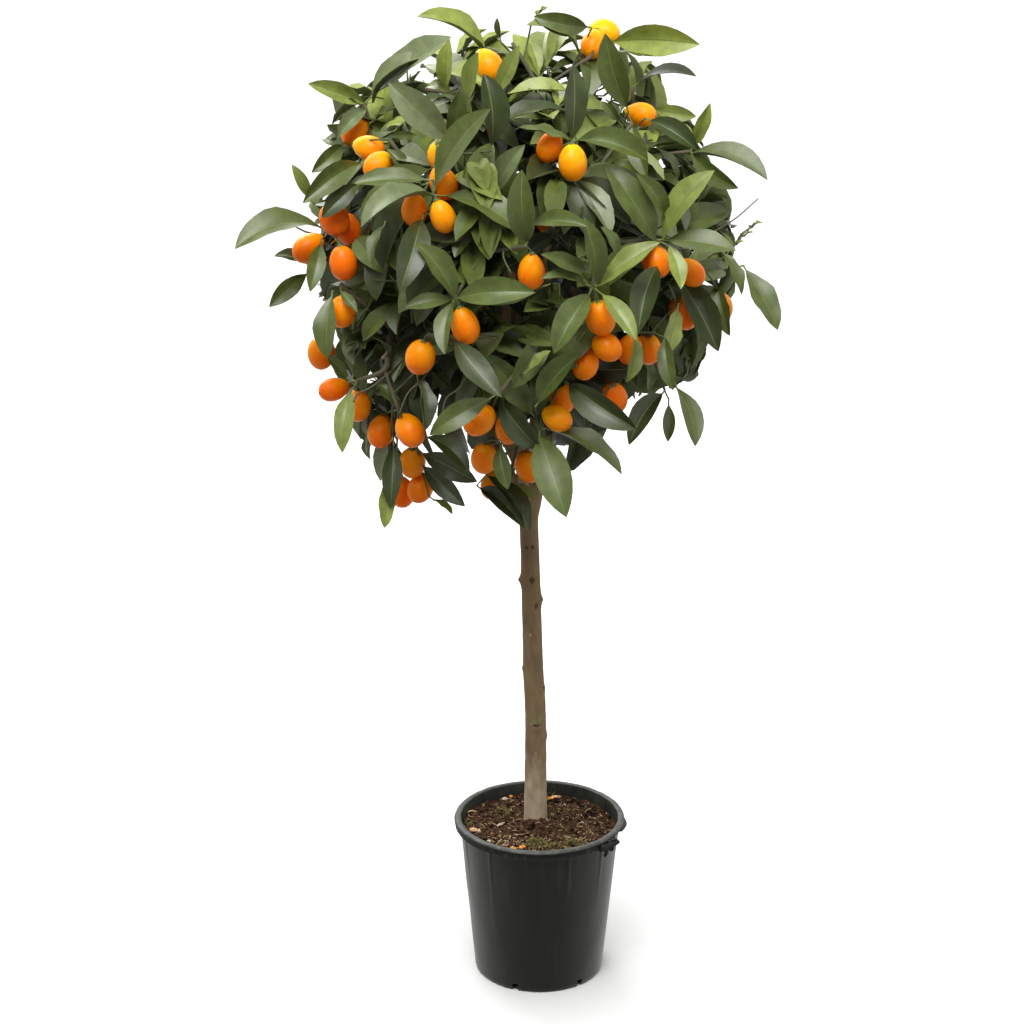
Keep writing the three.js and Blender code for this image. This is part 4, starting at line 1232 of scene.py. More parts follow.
def grow_leaf(crown, mass, at, axis, turn, opening, leaves):
    """A leaf from a place on a twig, turned on until it has room; without room there is none."""
    draw = leaves.draw
    side = any_across(axis)
    raised = axis.cross(side)
    full = LEAF_LENGTH * (1 + (draw() - 0.5) * 2 * LEAF_SPREAD)
    lean, roll = draw() - 0.5, draw() - 0.5
    outline = abs(seen(at)[2]) < OUTLINE_BAND
    for i in range(LEAF_TRIES):
        turned = math.radians(turn + TRY_TURN * i)
        opened = math.radians(opening - TRY_CLOSING * i)
        flat = side * math.cos(turned) + raised * math.sin(turned)
        ahead = flat * math.sin(opened) + axis * math.cos(opened) - UP * LEAF_DROOP
        ahead = ahead.normalized()
        root = at + ahead * PETIOLE_LENGTH
        for share in YOUNGER_LEAVES if outline else YOUNGER_LEAVES[:2]:
            tip = root + ahead * full * share
            run = leaf_run(at, root, tip)
            if (
                crown.allows(tip, mass, leaves.reach) and crown.allows(run[3], mass, leaves.reach)
                and crown.clear_of_limbs(tip) and crown.clear_of_limbs(run[3])
                and crown.blades.clear(run[1:], BLADE_MARGIN) and crown.leaves_fruit_be(run[1:])
            ):
                outward = (root - CROWN_HEART).normalized()
                face = UP * 0.6 + outward + side * lean * LEAF_TILT + raised * roll * LEAF_TILT
                face -= TOWARDS_CROWN * LEAF_TO_CAMERA * smoothstep(seen(root)[2], -60, 40)
                crown.blades.lay(root, tip, face)
                leaves.add(at, root, tip, face, tone_with_painted_light(tip, draw))
                return


def at_one_depth(course):
    """Places seen across and up, all as far from the camera as the first."""
    across, up = course[0]
    first = on_crown(across, up, CROWN_REACH)
    return [first + VIEW_RIGHT * (x - across) + VIEW_UP * (y - up) for x, y in course]


def grow_bare_twigs(growth):
    """The thin twigs that stand out of a mass, some with small young leaves."""
    for course, young in BARE_TWIGS:
        points = at_one_depth(course)
        plan = growth.crown.plan
        if min(plan, key=lambda one: (one.heart - points[0]).length) is not growth.mass:
            continue
        base = CROWN_HEART.lerp(points[0], 0.75)
        knots = [(at, SPRAY_RADIUS * (1.1 - 0.12 * i)) for i, at in enumerate([base, *points])]
        add_limb(growth.twigs, knots, TWIG_SIDES, GREEN_LOOK if young else WOOD_LOOK)
        ahead = (points[-1] - points[-2]).normalized()
        side = any_across(ahead)
        for i in range(young):
            at = points[-1].lerp(points[-3], i / (young - 0.5))
            out = (ahead + side * (0.7 if i % 2 else -0.7) - TOWARDS_CROWN * 0.2).normalized()
            tip = at + out * (17 - i)
            growth.plain.add(at, at + out * 2, tip, side - TOWARDS_CROWN, "young")


def grow_fruit(fruit, pile, twigs):
    """A fruit, and the stalk that carries it from its shoot."""
    add_fruit(pile, fruit)
    at = fruit.shoot.at
    top = fruit.middle - fruit.hang * (fruit.length / 2)
    knee = at.lerp(top, 0.6) + UP * 2
    knots = [(at, 1.3), (knee, 1.1), (top - fruit.hang * 0.5, 1.4)]
    add_limb(twigs, knots, TWIG_SIDES, GREEN_LOOK)


class Growth:
    """All that grows in one mass: first what stands out, then what fills the rest."""

    def __init__(self, crown, mass, seed):
        self.crown = crown
        self.mass = mass
        self.twigs, self.leafage, self.fruit = Pile(), Pile(), Pile()
        self.fine = Leaves(seed + 100, CROWN_EDGE, FINE_STATIONS, FINE_TOP, FINE_UNDER)
        self.plain = Leaves(seed + 150, FILL_REACH, PLAIN_STATIONS, PLAIN_TOP, PLAIN_UNDER)
        self.grow_limbs(seeded(seed))
        for leaf in crown.front_leaves:
            if leaf.shoot.mass is mass:
                grow_front_leaf(leaf, self.fine, self.twigs)
        for one in crown.fruit:
            if one.shoot.mass is mass:
                grow_fruit(one, self.fruit, self.twigs)

    def grow_limbs(self, draw):
        """The twigs that the source has too, and the leaves round the ends of the plain ones."""
        mass = self.mass
        own = [shoot for shoot in self.crown.shoots if shoot.mass is mass]
        start = mass.end + mass.direction() * CLEARANCE
        stem_end = start + mass.direction() * 2 * BOUGH_TIP_RADIUS
        limbs = []
        branch([(start, BOUGH_TIP_RADIUS), (stem_end, BOUGH_TIP_RADIUS)], own, draw, limbs)
        for knots in limbs:
            add_limb(self.twigs, knots, LIMB_SIDES)
        self.grown = [
            one[0].lerp(other[0], share)
            for knots in limbs for one, other in zip(knots, knots[1:])
            for share in (0.25, 0.5, 0.75, 1)
        ]
        for shoot in own:
            for i in range(0 if shoot.front else LEAVES_PER_SHOOT):
                turn = shoot.turn + i * 360 / LEAVES_PER_SHOOT
                opening = SHOOT_OPENING + SHOOT_LOOSE * draw()
                grow_leaf(self.crown, mass, shoot.at, shoot.axis, turn, opening, self.fine)

    def grow_sprays(self, stand_out):
        """Finer twigs, each from the nearest point of what has grown, with leaves round it."""
        leaves = self.fine if stand_out else self.plain
        for owner, end, count, stands_out in self.crown.sprays:
            ours = owner is self.mass and stands_out == stand_out
            if ours and self.crown.allows(end, self.mass, leaves.reach):
                self.grow_spray(end, count, leaves)

    def grow_spray(self, end, count, leaves):
        """One twig, bowed a little, with its leaves closer to it towards the end."""
        draw = leaves.draw
        outward = (end - CROWN_HEART).normalized()
        inside = (end - CROWN_HEART).length - SPRAY_LEAST
        nearer = [at for at in self.grown if (at - CROWN_HEART).length < inside]
        foot = min(nearer or self.grown, key=lambda at: (at - end).length)
        bow = foot.lerp(end, 0.5) + UP * (draw() * SPRAY_RISE)
        bow += any_across(outward) * ((draw() - 0.5) * SPRAY_SWAY)
        knots = [(foot, SPRAY_RADIUS * 1.3), (bow, SPRAY_RADIUS), (end, SPRAY_RADIUS * 0.7)]
        add_limb(self.twigs, knots, TWIG_SIDES, GREEN_LOOK)
        self.grown += [bow, end]
        axis = ((end - bow).normalized() + outward * 0.6).normalized()
        leafy = min(0.9, SPRAY_LEAFY / (end - foot).length)
        turn = draw() * 360
        for i in range(count):
            share = i / (count - 1)
            at = end.lerp(bow, min(1, 2 * leafy * (1 - share)))
            opening = SPRAY_OPENING - SPRAY_CLOSING * share + (draw() - 0.5) * SPRAY_LOOSE
            grow_leaf(self.crown, self.mass, at, axis, turn + i * GOLDEN_TURN, opening, leaves)

    def finish(self, materials):
        """The mass's meshes: its leaves, its twigs and its fruit, each kind apart."""
        name = self.mass.name
        for leaves in (self.fine, self.plain):
            if leaves.rows:
                leaves.fill(self.leafage)
        self.leafage.piece(f"leaves_{name}", materials["leaves"], f"foliage_{name}",
                           slot="foliage", crease=CREASE)
        self.twigs.piece(f"twigs_{name}", materials["twigs"], slot="bark")
        if self.fruit.places:
            self.fruit.piece(f"fruit_{name}", materials["fruit"])


def grow_crown(crown, materials):
    growths = [Growth(crown, mass, SEED + 1 + i) for i, mass in enumerate(crown.plan)]
    for stand_out in (True, False):
        for growth in growths:
            growth.grow_sprays(stand_out)
    for growth in growths:
        grow_bare_twigs(growth)
        growth.finish(materials)


# ---- trunk and boughs ----

TRUNK_RINGS = 420
TRUNK_SIDES = 72
FOOT_FLARE = 0.9  # what shows of the flare above the crumbs
TRUNK_FLARE_HEIGHT = 16
# Painted reflection: the bark turns paler and greyer towards its foot, in steps.
PAINTED_REFLECTION_UP_TO = 275
PAINTED_REFLECTION_STEP = 12
PAINTED_REFLECTION_FADES = 5  # steps from the brown bark to the pale foot
KNOT_SPREAD = (7, 30)  # how far it reaches: up, and round in degrees
KNOTS = [
    # height, bearing from the front towards the right, swelling
    (485, -88, 3.6),
    (460, 88, 2.8),
    (376, -80, 1.4),
    (349, 85, 1.1),
    (305, 5, 1.4),
    (291, 75, 1.8),
    (420, 190, 2.0),
    (250, 160, 1.6),
]
COLLAR_SPREAD = (12, 48)
COLLAR = [
    # the rounded stubs under the crown: height, bearing, swelling
    (590, 84, 6.5),
    (574, 92, 3.5),
    (596, -70, 2.5),
]
# Marks on the bark: height, bearing from the front towards the right, half height, half width
# in millimetres, how deep it lies, and its look.
BARK_MARKS = [
    (487, 4, 4.5, 3.2, 0.7, "scar"),
    (455, 26, 3.6, 2.2, 0.5, "scar"),
    (527, -22, 2.2, 2.0, 0.3, "scar"),
    (527, 16, 2.4, 2.0, 0.3, "scar"),
    (352, 62, 1.8, 1.8, 0.3, "scar"),
    (307, 0, 1.3, 6.5, 0.9, "scar"),
    (311, -14, 2.2, 3.4, -0.7, "lichen"),
    (314, 20, 4.4, 2.4, -0.9, "lichen"),
    (420, -14, 1.5, 1.5, -0.3, "pale"),
    (308, -27, 1.4, 1.6, -0.4, "pale"),
    (395, 200, 3.5, 2.6, 0.5, "scar"),
    (330, 150, 2.6, 5.0, 0.7, "scar"),
]
BARK_LOOKS = [*range(PAINTED_REFLECTION_FADES), "pale", "scar", "lichen"]


def off_swellings(up, bearing, swellings, spread):
    """For each swelling its size, and how far off it a place on the bark lies."""
    high, wide = spread
    for height, turned, size in swellings:
        yield size, ((up - height) / high) ** 2 + (turn_between(bearing, turned) / wide) ** 2


def knot_swell(up, bearing):
    """How much the knots, which come to a point, and the rounded collar add to the radius."""
    total = 0
    for size, off in off_swellings(up, bearing, KNOTS, KNOT_SPREAD):
        total += size * (0.6 * math.exp(-off) + 0.45 * math.exp(-off * 8))
    for size, off in off_swellings(up, bearing, COLLAR, COLLAR_SPREAD):
        total += size * math.exp(-off)
    return total


def mark_at(up, bearing, radius):
    """The mark that a place on the bark lies in, and how near its middle, or none."""
    for mark in BARK_MARKS:
        height, turned, high, wide, _, _ = mark
        along = math.radians((bearing - turned + 180) % 360 - 180) * radius
        near = 1 - ((up - height) / high) ** 2 - (along / wide) ** 2
        if near > 0:
            return mark, near
    return None, 0


def trunk_piece(crown, materials):
    """The trunk and the boughs in one mesh, with the bark's relief, marks and pale foot, which is a
    painted reflection.
    """
    pile = Pile()
    course = [trunk_point(i / (TRUNK_RINGS - 1)) for i in range(TRUNK_RINGS)]
    radii = [
        TRUNK_FOOT_RADIUS + (TRUNK_TIP_RADIUS - TRUNK_FOOT_RADIUS) * i / (TRUNK_RINGS - 1)
        + FOOT_FLARE * math.exp(-(at.z - TRUNK_FOOT) / TRUNK_FLARE_HEIGHT)
        for i, at in enumerate(course)
    ]
    walls = np.zeros((TRUNK_RINGS - 1, TRUNK_SIDES), dtype=int)

    def relief(ring, angles):
        up = course[ring].z
        added = []
        for i, angle in enumerate(angles):
            x, y = math.cos(angle), math.sin(angle)
            bearing = math.degrees(math.atan2(x, -y))
            stria = noise.noise(Vector((x * 6, y * 6, up / 55)))
            lump = noise.noise(Vector((x * 2, y * 2, up / 17)))
            fine = noise.noise(Vector((x * 16, y * 16, up / 6)))
            mark, near = mark_at(up, bearing, radii[ring])
            dent = mark[4] * near**0.5 if mark else 0
            reflection_paling = PAINTED_REFLECTION_UP_TO - up - 26 * noise.noise(Vector((x * 2, y * 2, up / 14)))
            fade = round(min(PAINTED_REFLECTION_FADES, max(0, reflection_paling / PAINTED_REFLECTION_STEP)))
            look = BARK_LOOKS.index(mark[5]) if mark else fade
            walls[min(ring, TRUNK_RINGS - 2), i] = look
            added.append(
                knot_swell(up, bearing) + 0.3 * stria + 0.35 * lump + 0.16 * fine - dent,
            )
        return np.array(added)

    places = sweep(course, radii, TRUNK_SIDES, relief)
    faces = ring_faces(TRUNK_RINGS, TRUNK_SIDES)
    ends = np.zeros(len(faces) - walls.size, dtype=int)
    pile.add(places, faces, np.concatenate([walls.reshape(-1), ends]))
    for mass in crown.plan:
        add_bough(pile, mass)
    names = [f"bough_{mass.name}" for mass in crown.plan]
    return pile.piece("bark", materials["bark"], "trunk", *names, slot="bark")


def add_bough(pile, mass):
    """A bough with the bark's relief, which takes its first tone."""
    rings, sides = 60, 24
    course = [mass.course(i / (rings - 1)) for i in range(rings)]
    radii = np.linspace(BOUGH_FOOT_RADIUS, BOUGH_TIP_RADIUS, rings)

    def relief(ring, angles):
        at = course[ring]
        return np.array([
            0.45 * noise.noise(Vector((math.cos(a) * 4, math.sin(a) * 4, at.z / 20 + at.x)))
            for a in angles
        ])

    pile.add(sweep(course, radii, sides, relief), ring_faces(rings, sides))


def bark_materials():
    """In the order of BARK_LOOKS."""
    # The pale foot colour is the painted reflection low on the trunk.
    brown, foot = np.array((0.215, 0.148, 0.078)), np.array((0.42, 0.335, 0.235))
    tones = [
        (f"bark_{i}", tuple(brown + (foot - brown) * i / PAINTED_REFLECTION_FADES))
        for i in range(PAINTED_REFLECTION_FADES + 1)
    ]
    tones += [("bark_scar", (0.085, 0.056, 0.032)), ("bark_lichen", (0.18, 0.18, 0.08))]
    return [
        mottled(
            name, colour, 0.82, (90, 6, (1, 1, 0.35)),
            [(0.3, shaded(colour, 0.78)), (0.5, colour), (0.72, shaded(colour, 1.22))],
            ((380, 5, (1, 1, 0.3)), 0.7), Specular_IOR_Level=0.25,
        )
        for name, colour in tones
    ]


# ---- pot ----

RIB_COUNT = 12
RIB_BEARING = -39
RIB_HEIGHT = 0.9
RIB_WIDTH = 1.0  # degrees
RIB_FADES_AT = 90
WALL_UNEVEN = 0.5
LIP_TEAR = (60, 76)  # bearings where the lip's hanging edge is torn away
LIP_TEAR_RISE = 5.5
LIP_TEAR_RADIUS = 94.5
LIP_FLARE = (73, 106)  # the bent stretch on one side of the tear
LIP_FLARE_DROP = 0.8
LIP_FLARE_SPREAD = 3.8
TORN_END = (49, 60)  # the other side, bent outwards and hanging
TORN_END_SPREAD = 6.5
LIP_BEAD = 3.4
LIP_INSET = 1.3
SKIRT = POT_HEIGHT - LIP_HEIGHT
POT_LOOKS = ["wall", "lip", "inside", "band"]
BAND_POINTS = 7  # of the pot's section: the band under the bead


def lathe(pile, profile, sides, moved=None, looks=0):
    """A closed ring shape turned from a closed profile of (radius, height) points."""
    angles = np.arange(sides) * 2 * math.pi / sides
    count = len(profile)
    places = []
    for angle in angles:
        for radius, up in profile:
            if moved:
                radius, up = moved(radius, up, math.degrees(angle))
            places.append((math.sin(angle) * radius, -math.cos(angle) * radius, up))
    turn, point = np.meshgrid(np.arange(sides), np.arange(count), indexing="ij")
    after_turn, after_point = (turn + 1) % sides, (point + 1) % count
    faces = np.stack([
        turn * count + point, after_turn * count + point,
        after_turn * count + after_point, turn * count + after_point,
    ], axis=-1).reshape(-1, 4)
    pile.add(np.array(places), faces, np.resize(looks, len(faces)))


def stretch(bearing, ends):
    """0 outside a stretch of bearings, rising to 1 in its middle."""
    share = (bearing - ends[0]) / (ends[1] - ends[0])
    return math.sin(math.pi * share) ** 0.5 if 0 < share < 1 else 0


def pot_profile():
    """The pot's section from the middle of its underside round to the middle of its floor."""
    slope = POT_WALL_TOP_RADIUS - POT_BASE_RADIUS
    steps = 36
    wall = [(POT_BASE_RADIUS + slope * i / steps, SKIRT * i / steps) for i in range(1, steps)]
    face = LIP_RADIUS - LIP_INSET
    bead_low = POT_HEIGHT - LIP_BEAD
    bead = [
        (LIP_RADIUS - LIP_BEAD * (1 - math.cos(turn)), bead_low + LIP_BEAD * math.sin(turn))
        for turn in np.linspace(0, math.pi / 2, 7)
    ]
    inner = LIP_RADIUS - LIP_TOP_WIDTH
    outside = [
        (1, 0), (POT_BASE_RADIUS - 1.2, 0), (POT_BASE_RADIUS, 1.0), *wall,
        (POT_WALL_TOP_RADIUS, SKIRT - 0.6), (POT_WALL_TOP_RADIUS + 0.8, SKIRT),
        (face - 0.6, SKIRT), (face + 0.3, SKIRT + 0.4), (face + 0.4, SKIRT + 1.2),
        (face, SKIRT + 2), (face, bead_low - 1.2), (face + 0.5, bead_low - 0.4),
    ]
    top = [*bead, (inner + 1.2, POT_HEIGHT), (inner + 0.3, POT_HEIGHT - 0.4)]
    inside = [
        (inner, POT_HEIGHT - 1.4), (POT_WALL_TOP_RADIUS - POT_WALL, SKIRT),
        (POT_WALL_TOP_RADIUS - POT_WALL - 3, 150), (POT_BASE_RADIUS - POT_WALL, POT_FLOOR),
        (1, POT_FLOOR),
    ]
    looks = [0] * (len(outside) - BAND_POINTS) + [3] * (BAND_POINTS + 2)
    looks += [1] * (len(top) - 2) + [2] * len(inside)
    return outside + top + inside, looks


def wall_moved(radius, up, bearing, at):
    """A wall never quite true, with ribs that fade out towards its foot."""
    apart = (bearing - RIB_BEARING) % (360 / RIB_COUNT)
    apart = min(apart, 360 / RIB_COUNT - apart)
    rib = math.exp(-(apart / RIB_WIDTH) ** 2) * smoothstep(up, RIB_FADES_AT, SKIRT)
    uneven = RIB_HEIGHT * rib + WALL_UNEVEN * noise.noise(at)
    return radius + uneven


def lip_moved(radius, up, bearing, at):
    """A worn lip, whose hanging edge is torn away for a stretch and bent on both sides of it."""
    ragged = noise.noise(at * 14)
    up += 0.35 * noise.noise(at * 2)
    radius += 0.3 * noise.noise(at * 3) + (0.25 * ragged if radius > LIP_RADIUS - 4 else 0)
    low = 1 - smoothstep(up, SKIRT + 1.5, POT_HEIGHT - LIP_BEAD)
    if low > 0 and radius > POT_WALL_TOP_RADIUS + 2:
        torn = stretch(bearing, LIP_TEAR) * low
        flared = stretch(bearing, LIP_FLARE) ** 4 * low
        bent = smoothstep(bearing, *TORN_END) * low if bearing < LIP_TEAR[0] + 0.4 else 0
        radius += torn * (LIP_TEAR_RADIUS - radius) + flared * LIP_FLARE_SPREAD
        radius += bent * TORN_END_SPREAD
        up += torn * (LIP_TEAR_RISE + 1.5 * ragged) - flared * LIP_FLARE_DROP
        up += bent * (1.5 + 2 * ragged)
    return radius, up


def pot_moved(radius, up, bearing):
    """Where a point of the pot's section lies at a bearing: the inside of the wall stays true."""
    turned = math.radians(bearing)
    at = Vector((math.sin(turned) * 3, math.cos(turned) * 3, up / 45))
    bearing = (bearing + 180) % 360 - 180
    if 0 < up < SKIRT and radius > POT_BASE_RADIUS - 1 + up * 0.09:
        radius = wall_moved(radius, up, bearing, at)
    return lip_moved(radius, up, bearing, at) if up >= SKIRT else (radius, up)


def pot_piece(materials):
    """The pot in one mesh, with its notches cut, and its torn edge beside it."""
    pile = Pile()
    profile, looks = pot_profile()
    sides = 360
    lathe(pile, profile, sides, pot_moved, looks * sides)
    pot = pile.piece("pot_shell", materials["pot"], "pot", slot="pot")
    cut_drains(pot)
    torn_edge(materials)


def torn_edge(materials):
    """Ragged tongues of plastic that the tear has left, bent out and down from the lip."""
    pile = Pile()
    draw = seeded(SEED + 900)
    tongues = [
        # its course by bearing, radius and height, and its half width
        ([(44, 98.5, SKIRT + 2), (50, 100.5, SKIRT + 1), (55, 104, SKIRT + 2),
          (58.5, 107, SKIRT + 3)], 4.4),
        ([(52, 99, SKIRT + 5), (56, 102, SKIRT + 6), (59, 105, SKIRT + 4)], 2.2),
        ([(53, 101, SKIRT + 1), (54, 102.5, SKIRT - 3), (53, 101.5, SKIRT - 6)], 4.0),
        ([(49.5, 100, SKIRT), (49.5, 101, SKIRT - 5), (48.5, 100, SKIRT - 11)], 3.0),
    ]
    for course, half in tongues:
        course = smooth_course([heading(turn, 0) * out + UP * up for turn, out, up in course], 6)
        radii = np.linspace(1, 0.3, len(course)) ** 0.6 * half

        def rough(ring, angles):
            return np.array([1.1 * (draw() - 0.5) for _ in angles]) * radii[ring] / half

        pile.add(sweep(course, radii, 10, rough), ring_faces(len(course), 10))
    band = materials["pot"][POT_LOOKS.index("band")]
    pile.piece("pot_torn_edge", [band], slot="pot", crease=30)


def cut_drains(pot):
    """Six notches through the foot of the wall."""
    cutters = Pile()
    for i in range(DRAIN_COUNT):
        out = heading(DRAIN_BEARING + i * 360 / DRAIN_COUNT, 0)
        aside = out.cross(UP)
        corners = [
            out * (POT_BASE_RADIUS + reach) + aside * across + UP * up
            for up in (-1, DRAIN_HEIGHT)
            for reach, across in (
                (-4, DRAIN_WIDTH / 2), (6, DRAIN_WIDTH / 2),
                (6, -DRAIN_WIDTH / 2), (-4, -DRAIN_WIDTH / 2),
            )
        ]
        cutters.add(np.array(corners), ring_faces(2, 4))
    mesh = bpy.data.meshes.new("drains")
    mesh.from_pydata(np.concatenate(cutters.places) * MM, [], np.concatenate(cutters.faces))
    cutter = bpy.data.objects.new("drains", mesh)
    bpy.context.scene.collection.objects.link(cutter)
    cut = pot.modifiers.new("drains", "BOOLEAN")
    cut.operation = "DIFFERENCE"
    cut.solver = "EXACT"
    cut.object = cutter
    graph = bpy.context.evaluated_depsgraph_get()
    pot.data = bpy.data.meshes.new_from_object(pot.evaluated_get(graph))
    pot.modifiers.clear()
    bpy.data.objects.remove(cutter)


def pot_materials():
    """In the order of POT_LOOKS."""
    wall = mottled("pot_wall", (0.008, 0.009, 0.007), 0.38, (130, 3, (1, 1, 0.05)), [
        (0.45, (0.007, 0.008, 0.006)), (0.62, (0.010, 0.011, 0.009)), (0.74, (0.020, 0.021, 0.018)),
    ], ((240, 4), 0.12), Specular_IOR_Level=0.5)
    # The lip is coloured lighter and greyer than the wall: painted light, for the light that its top
    # catches.
    lip = mottled("pot_lip", (0.060, 0.070, 0.066), 0.5, (120, 5), [
        (0.35, (0.026, 0.028, 0.024)), (0.55, (0.046, 0.049, 0.043)), (0.75, (0.09, 0.092, 0.08)),
    ], ((500, 3), 0.3))
    inside = mottled("pot_inside", (0.012, 0.014, 0.011), 0.65, (70, 5, (1, 1, 0.5)), [
        (0.4, (0.017, 0.020, 0.016)), (0.7, (0.044, 0.047, 0.036)),
    ], ((300, 3), 0.3), Specular_IOR_Level=0.25)
    band = mottled("pot_band", (0.010, 0.012, 0.009), 0.6, (150, 5), [
        (0.4, (0.008, 0.010, 0.008)), (0.6, (0.015, 0.017, 0.014)), (0.76, (0.04, 0.043, 0.038)),
    ], ((260, 5), 0.4), Specular_IOR_Level=0.25)
    return [wall, lip, inside, band]


# ---- soil ----

SOIL_RIM = 90.2
SOIL_RAISED = 3.2  # loose crumbs over the packed soil
FOOT_HEAP = 9.0  # how high the crumbs are heaped in front of the trunk
HEAP_MIDDLE = (-2, -9)
HEAP_SPREAD = (26, 13)
SOIL_LUMPS = [(3.6, 17, 3), (2.6, 6, 0)]  # how high, how wide, and which layer of the noise
FRONT_BITS = 210  # paler bits that lie thicker towards the front rim
SOIL_LOOKS = [
    "crumb", "dark", "bark_chip", "straw", "pale", "moss", "orange", "leaf_green", "olive", "peel",
]


def from_trunk(x, y):
    return math.hypot(x - TRUNK_COURSE[0].x, y - TRUNK_COURSE[0].y)


def soil_height(x, y):
    """The loose surface: uneven, and heaped round the trunk and in front of it."""
    beyond = max(0, from_trunk(x, y) - MOUND_FLAT_RADIUS)
    level = SOIL_LEVEL + SOIL_RAISED + MOUND_HEIGHT * 0.6 * math.exp(-(beyond / MOUND_SPREAD) ** 2)
    aside, ahead = ((at - heap) / spread for at, heap, spread in zip((x, y), HEAP_MIDDLE, HEAP_SPREAD))
    level += FOOT_HEAP * math.exp(-(aside**2) - ahead**2)
    for high, wide, layer in SOIL_LUMPS:
        level += high * noise.noise(Vector((x / wide, y / wide, layer)))
    return level


def soil_piece(materials):
    """The soil's surface, closed below, and all that lies on it."""
    pile = Pile()
    rings = 84
    profile = [(SOIL_RIM * i / rings, 0) for i in range(1, rings + 1)]
    profile += [(SOIL_RIM - 1, -12), (1, -12)]

    def moved(radius, up, bearing):
        x = math.sin(math.radians(bearing)) * radius
        y = -math.cos(math.radians(bearing)) * radius
        if up < 0:
            return radius, SOIL_LEVEL + up
        at = Vector((x, y, 0))
        return radius, soil_height(x, y) + noise.noise(at / 2.4) * 1.3 + noise.noise(at / 1.1) * 0.5

    lathe(pile, profile, 260, moved)
    scatter_litter(pile)
    return pile.piece("soil_top", materials["soil"], "soil", slot="soil")


def soil_spot(draw, edge=SOIL_RIM - 2):
    """A spot on the soil, clear of the trunk."""
    while True:
        x, y = (draw() * 2 - 1) * edge, (draw() * 2 - 1) * edge
        if math.hypot(x, y) < edge and from_trunk(x, y) > TRUNK_FOOT_RADIUS + 2:
            return x, y


def add_bit(pile, at, size, turn, tilt, look, draw):
    """An uneven bit: its length, width and thickness, turned about the vertical and tilted."""
    length, width, thick = size
    sides = 6
    ahead = heading(turn, tilt)
    ends = [at - ahead * length / 2, at + UP * (0.15 * length * draw()), at + ahead * length / 2]
    course = smooth_course(ends, 2)
    radii = np.array([0.35, 0.9, 1.0, 0.85, 0.3]) * width / 2
    places = sweep(course, radii, sides).reshape(len(course), sides, 3)
    middle = places.mean(axis=1, keepdims=True)
    squeezed = np.array([1, 1, thick / width])
    wobble = np.array([[[0.7 + 0.6 * draw()] for _ in range(sides)] for _ in course])
    places = middle + (places - middle) * squeezed * wobble
    pile.add(places.reshape(-1, 3), ring_faces(len(course), sides), SOIL_LOOKS.index(look))


def scatter_litter(pile):
    """Crumbs, chips, straw and moss by the hundred, then the few larger bits that show."""
    draw = seeded(SEED + 700)
    kinds = [
        # look, count, least and greatest length, width and thickness as shares of it
        ("crumb", 420, 1.8, 8.0, 0.6, 0.4),
        ("dark", 420, 1.8, 8.0, 0.6, 0.4),
        ("bark_chip", 380, 2.5, 8.0, 0.3, 0.16),
        ("olive", 170, 2.0, 7.0, 0.35, 0.25),
        ("straw", 240, 2.5, 9.0, 0.12, 0.08),
        ("pale", 40, 1.2, 4.2, 0.5, 0.35),
    ]
    for look, count, least, greatest, wide, thick in kinds:
        for _ in range(count):
            x, y = soil_spot(draw)
            length = least + (greatest - least) * draw() ** 3
            at = Vector((x, y, soil_height(x, y) + 0.6 + length * 0.12))
            size = (length, length * wide, length * thick)
            add_bit(pile, at, size, draw() * 360, (draw() - 0.4) * 50, look, draw)
    for i in range(FRONT_BITS):
        x, y = (draw() - 0.5) * 120, -30 - 30 * draw()
        at = Vector((x, y, soil_height(x, y) + 1.6))
        length = 3 + 4 * draw()
        size = (length, length * 0.22, length * 0.16)
        look = ["straw", "bark_chip", "olive"][i % 3]
        add_bit(pile, at, size, draw() * 360, (draw() - 0.4) * 60, look, draw)
    for x, y, spread, count in MOSS_TUFTS:
        for _ in range(count):
            turned, off = draw() * 2 * math.pi, draw() ** 0.6
            wide, deep = spread
            ax, ay = x + math.cos(turned) * off * wide, y + math.sin(turned) * off * deep
            dome = 1.2 + 3.6 * (1 - off * off)
            at = Vector((ax, ay, soil_height(ax, ay) + dome))
            add_bit(pile, at, (3.6, 0.9, 0.7), draw() * 360, 25 + 60 * draw(), "moss", draw)
    for look, x, y, size, turn, tilt in LITTER:
        at = Vector((x, y, soil_height(x, y) + 1.5 + size[2] / 2))
        add_bit(pile, at, size, turn, tilt, look, draw)


# Moss: middle, half width and half depth, strands.
MOSS_TUFTS = [
    (-3, -48, (13, 9), 210),
    (42, -50, (15, 7), 130),
    (-42, 28, (9, 12), 90),
    (20, -58, (10, 6), 60),
]
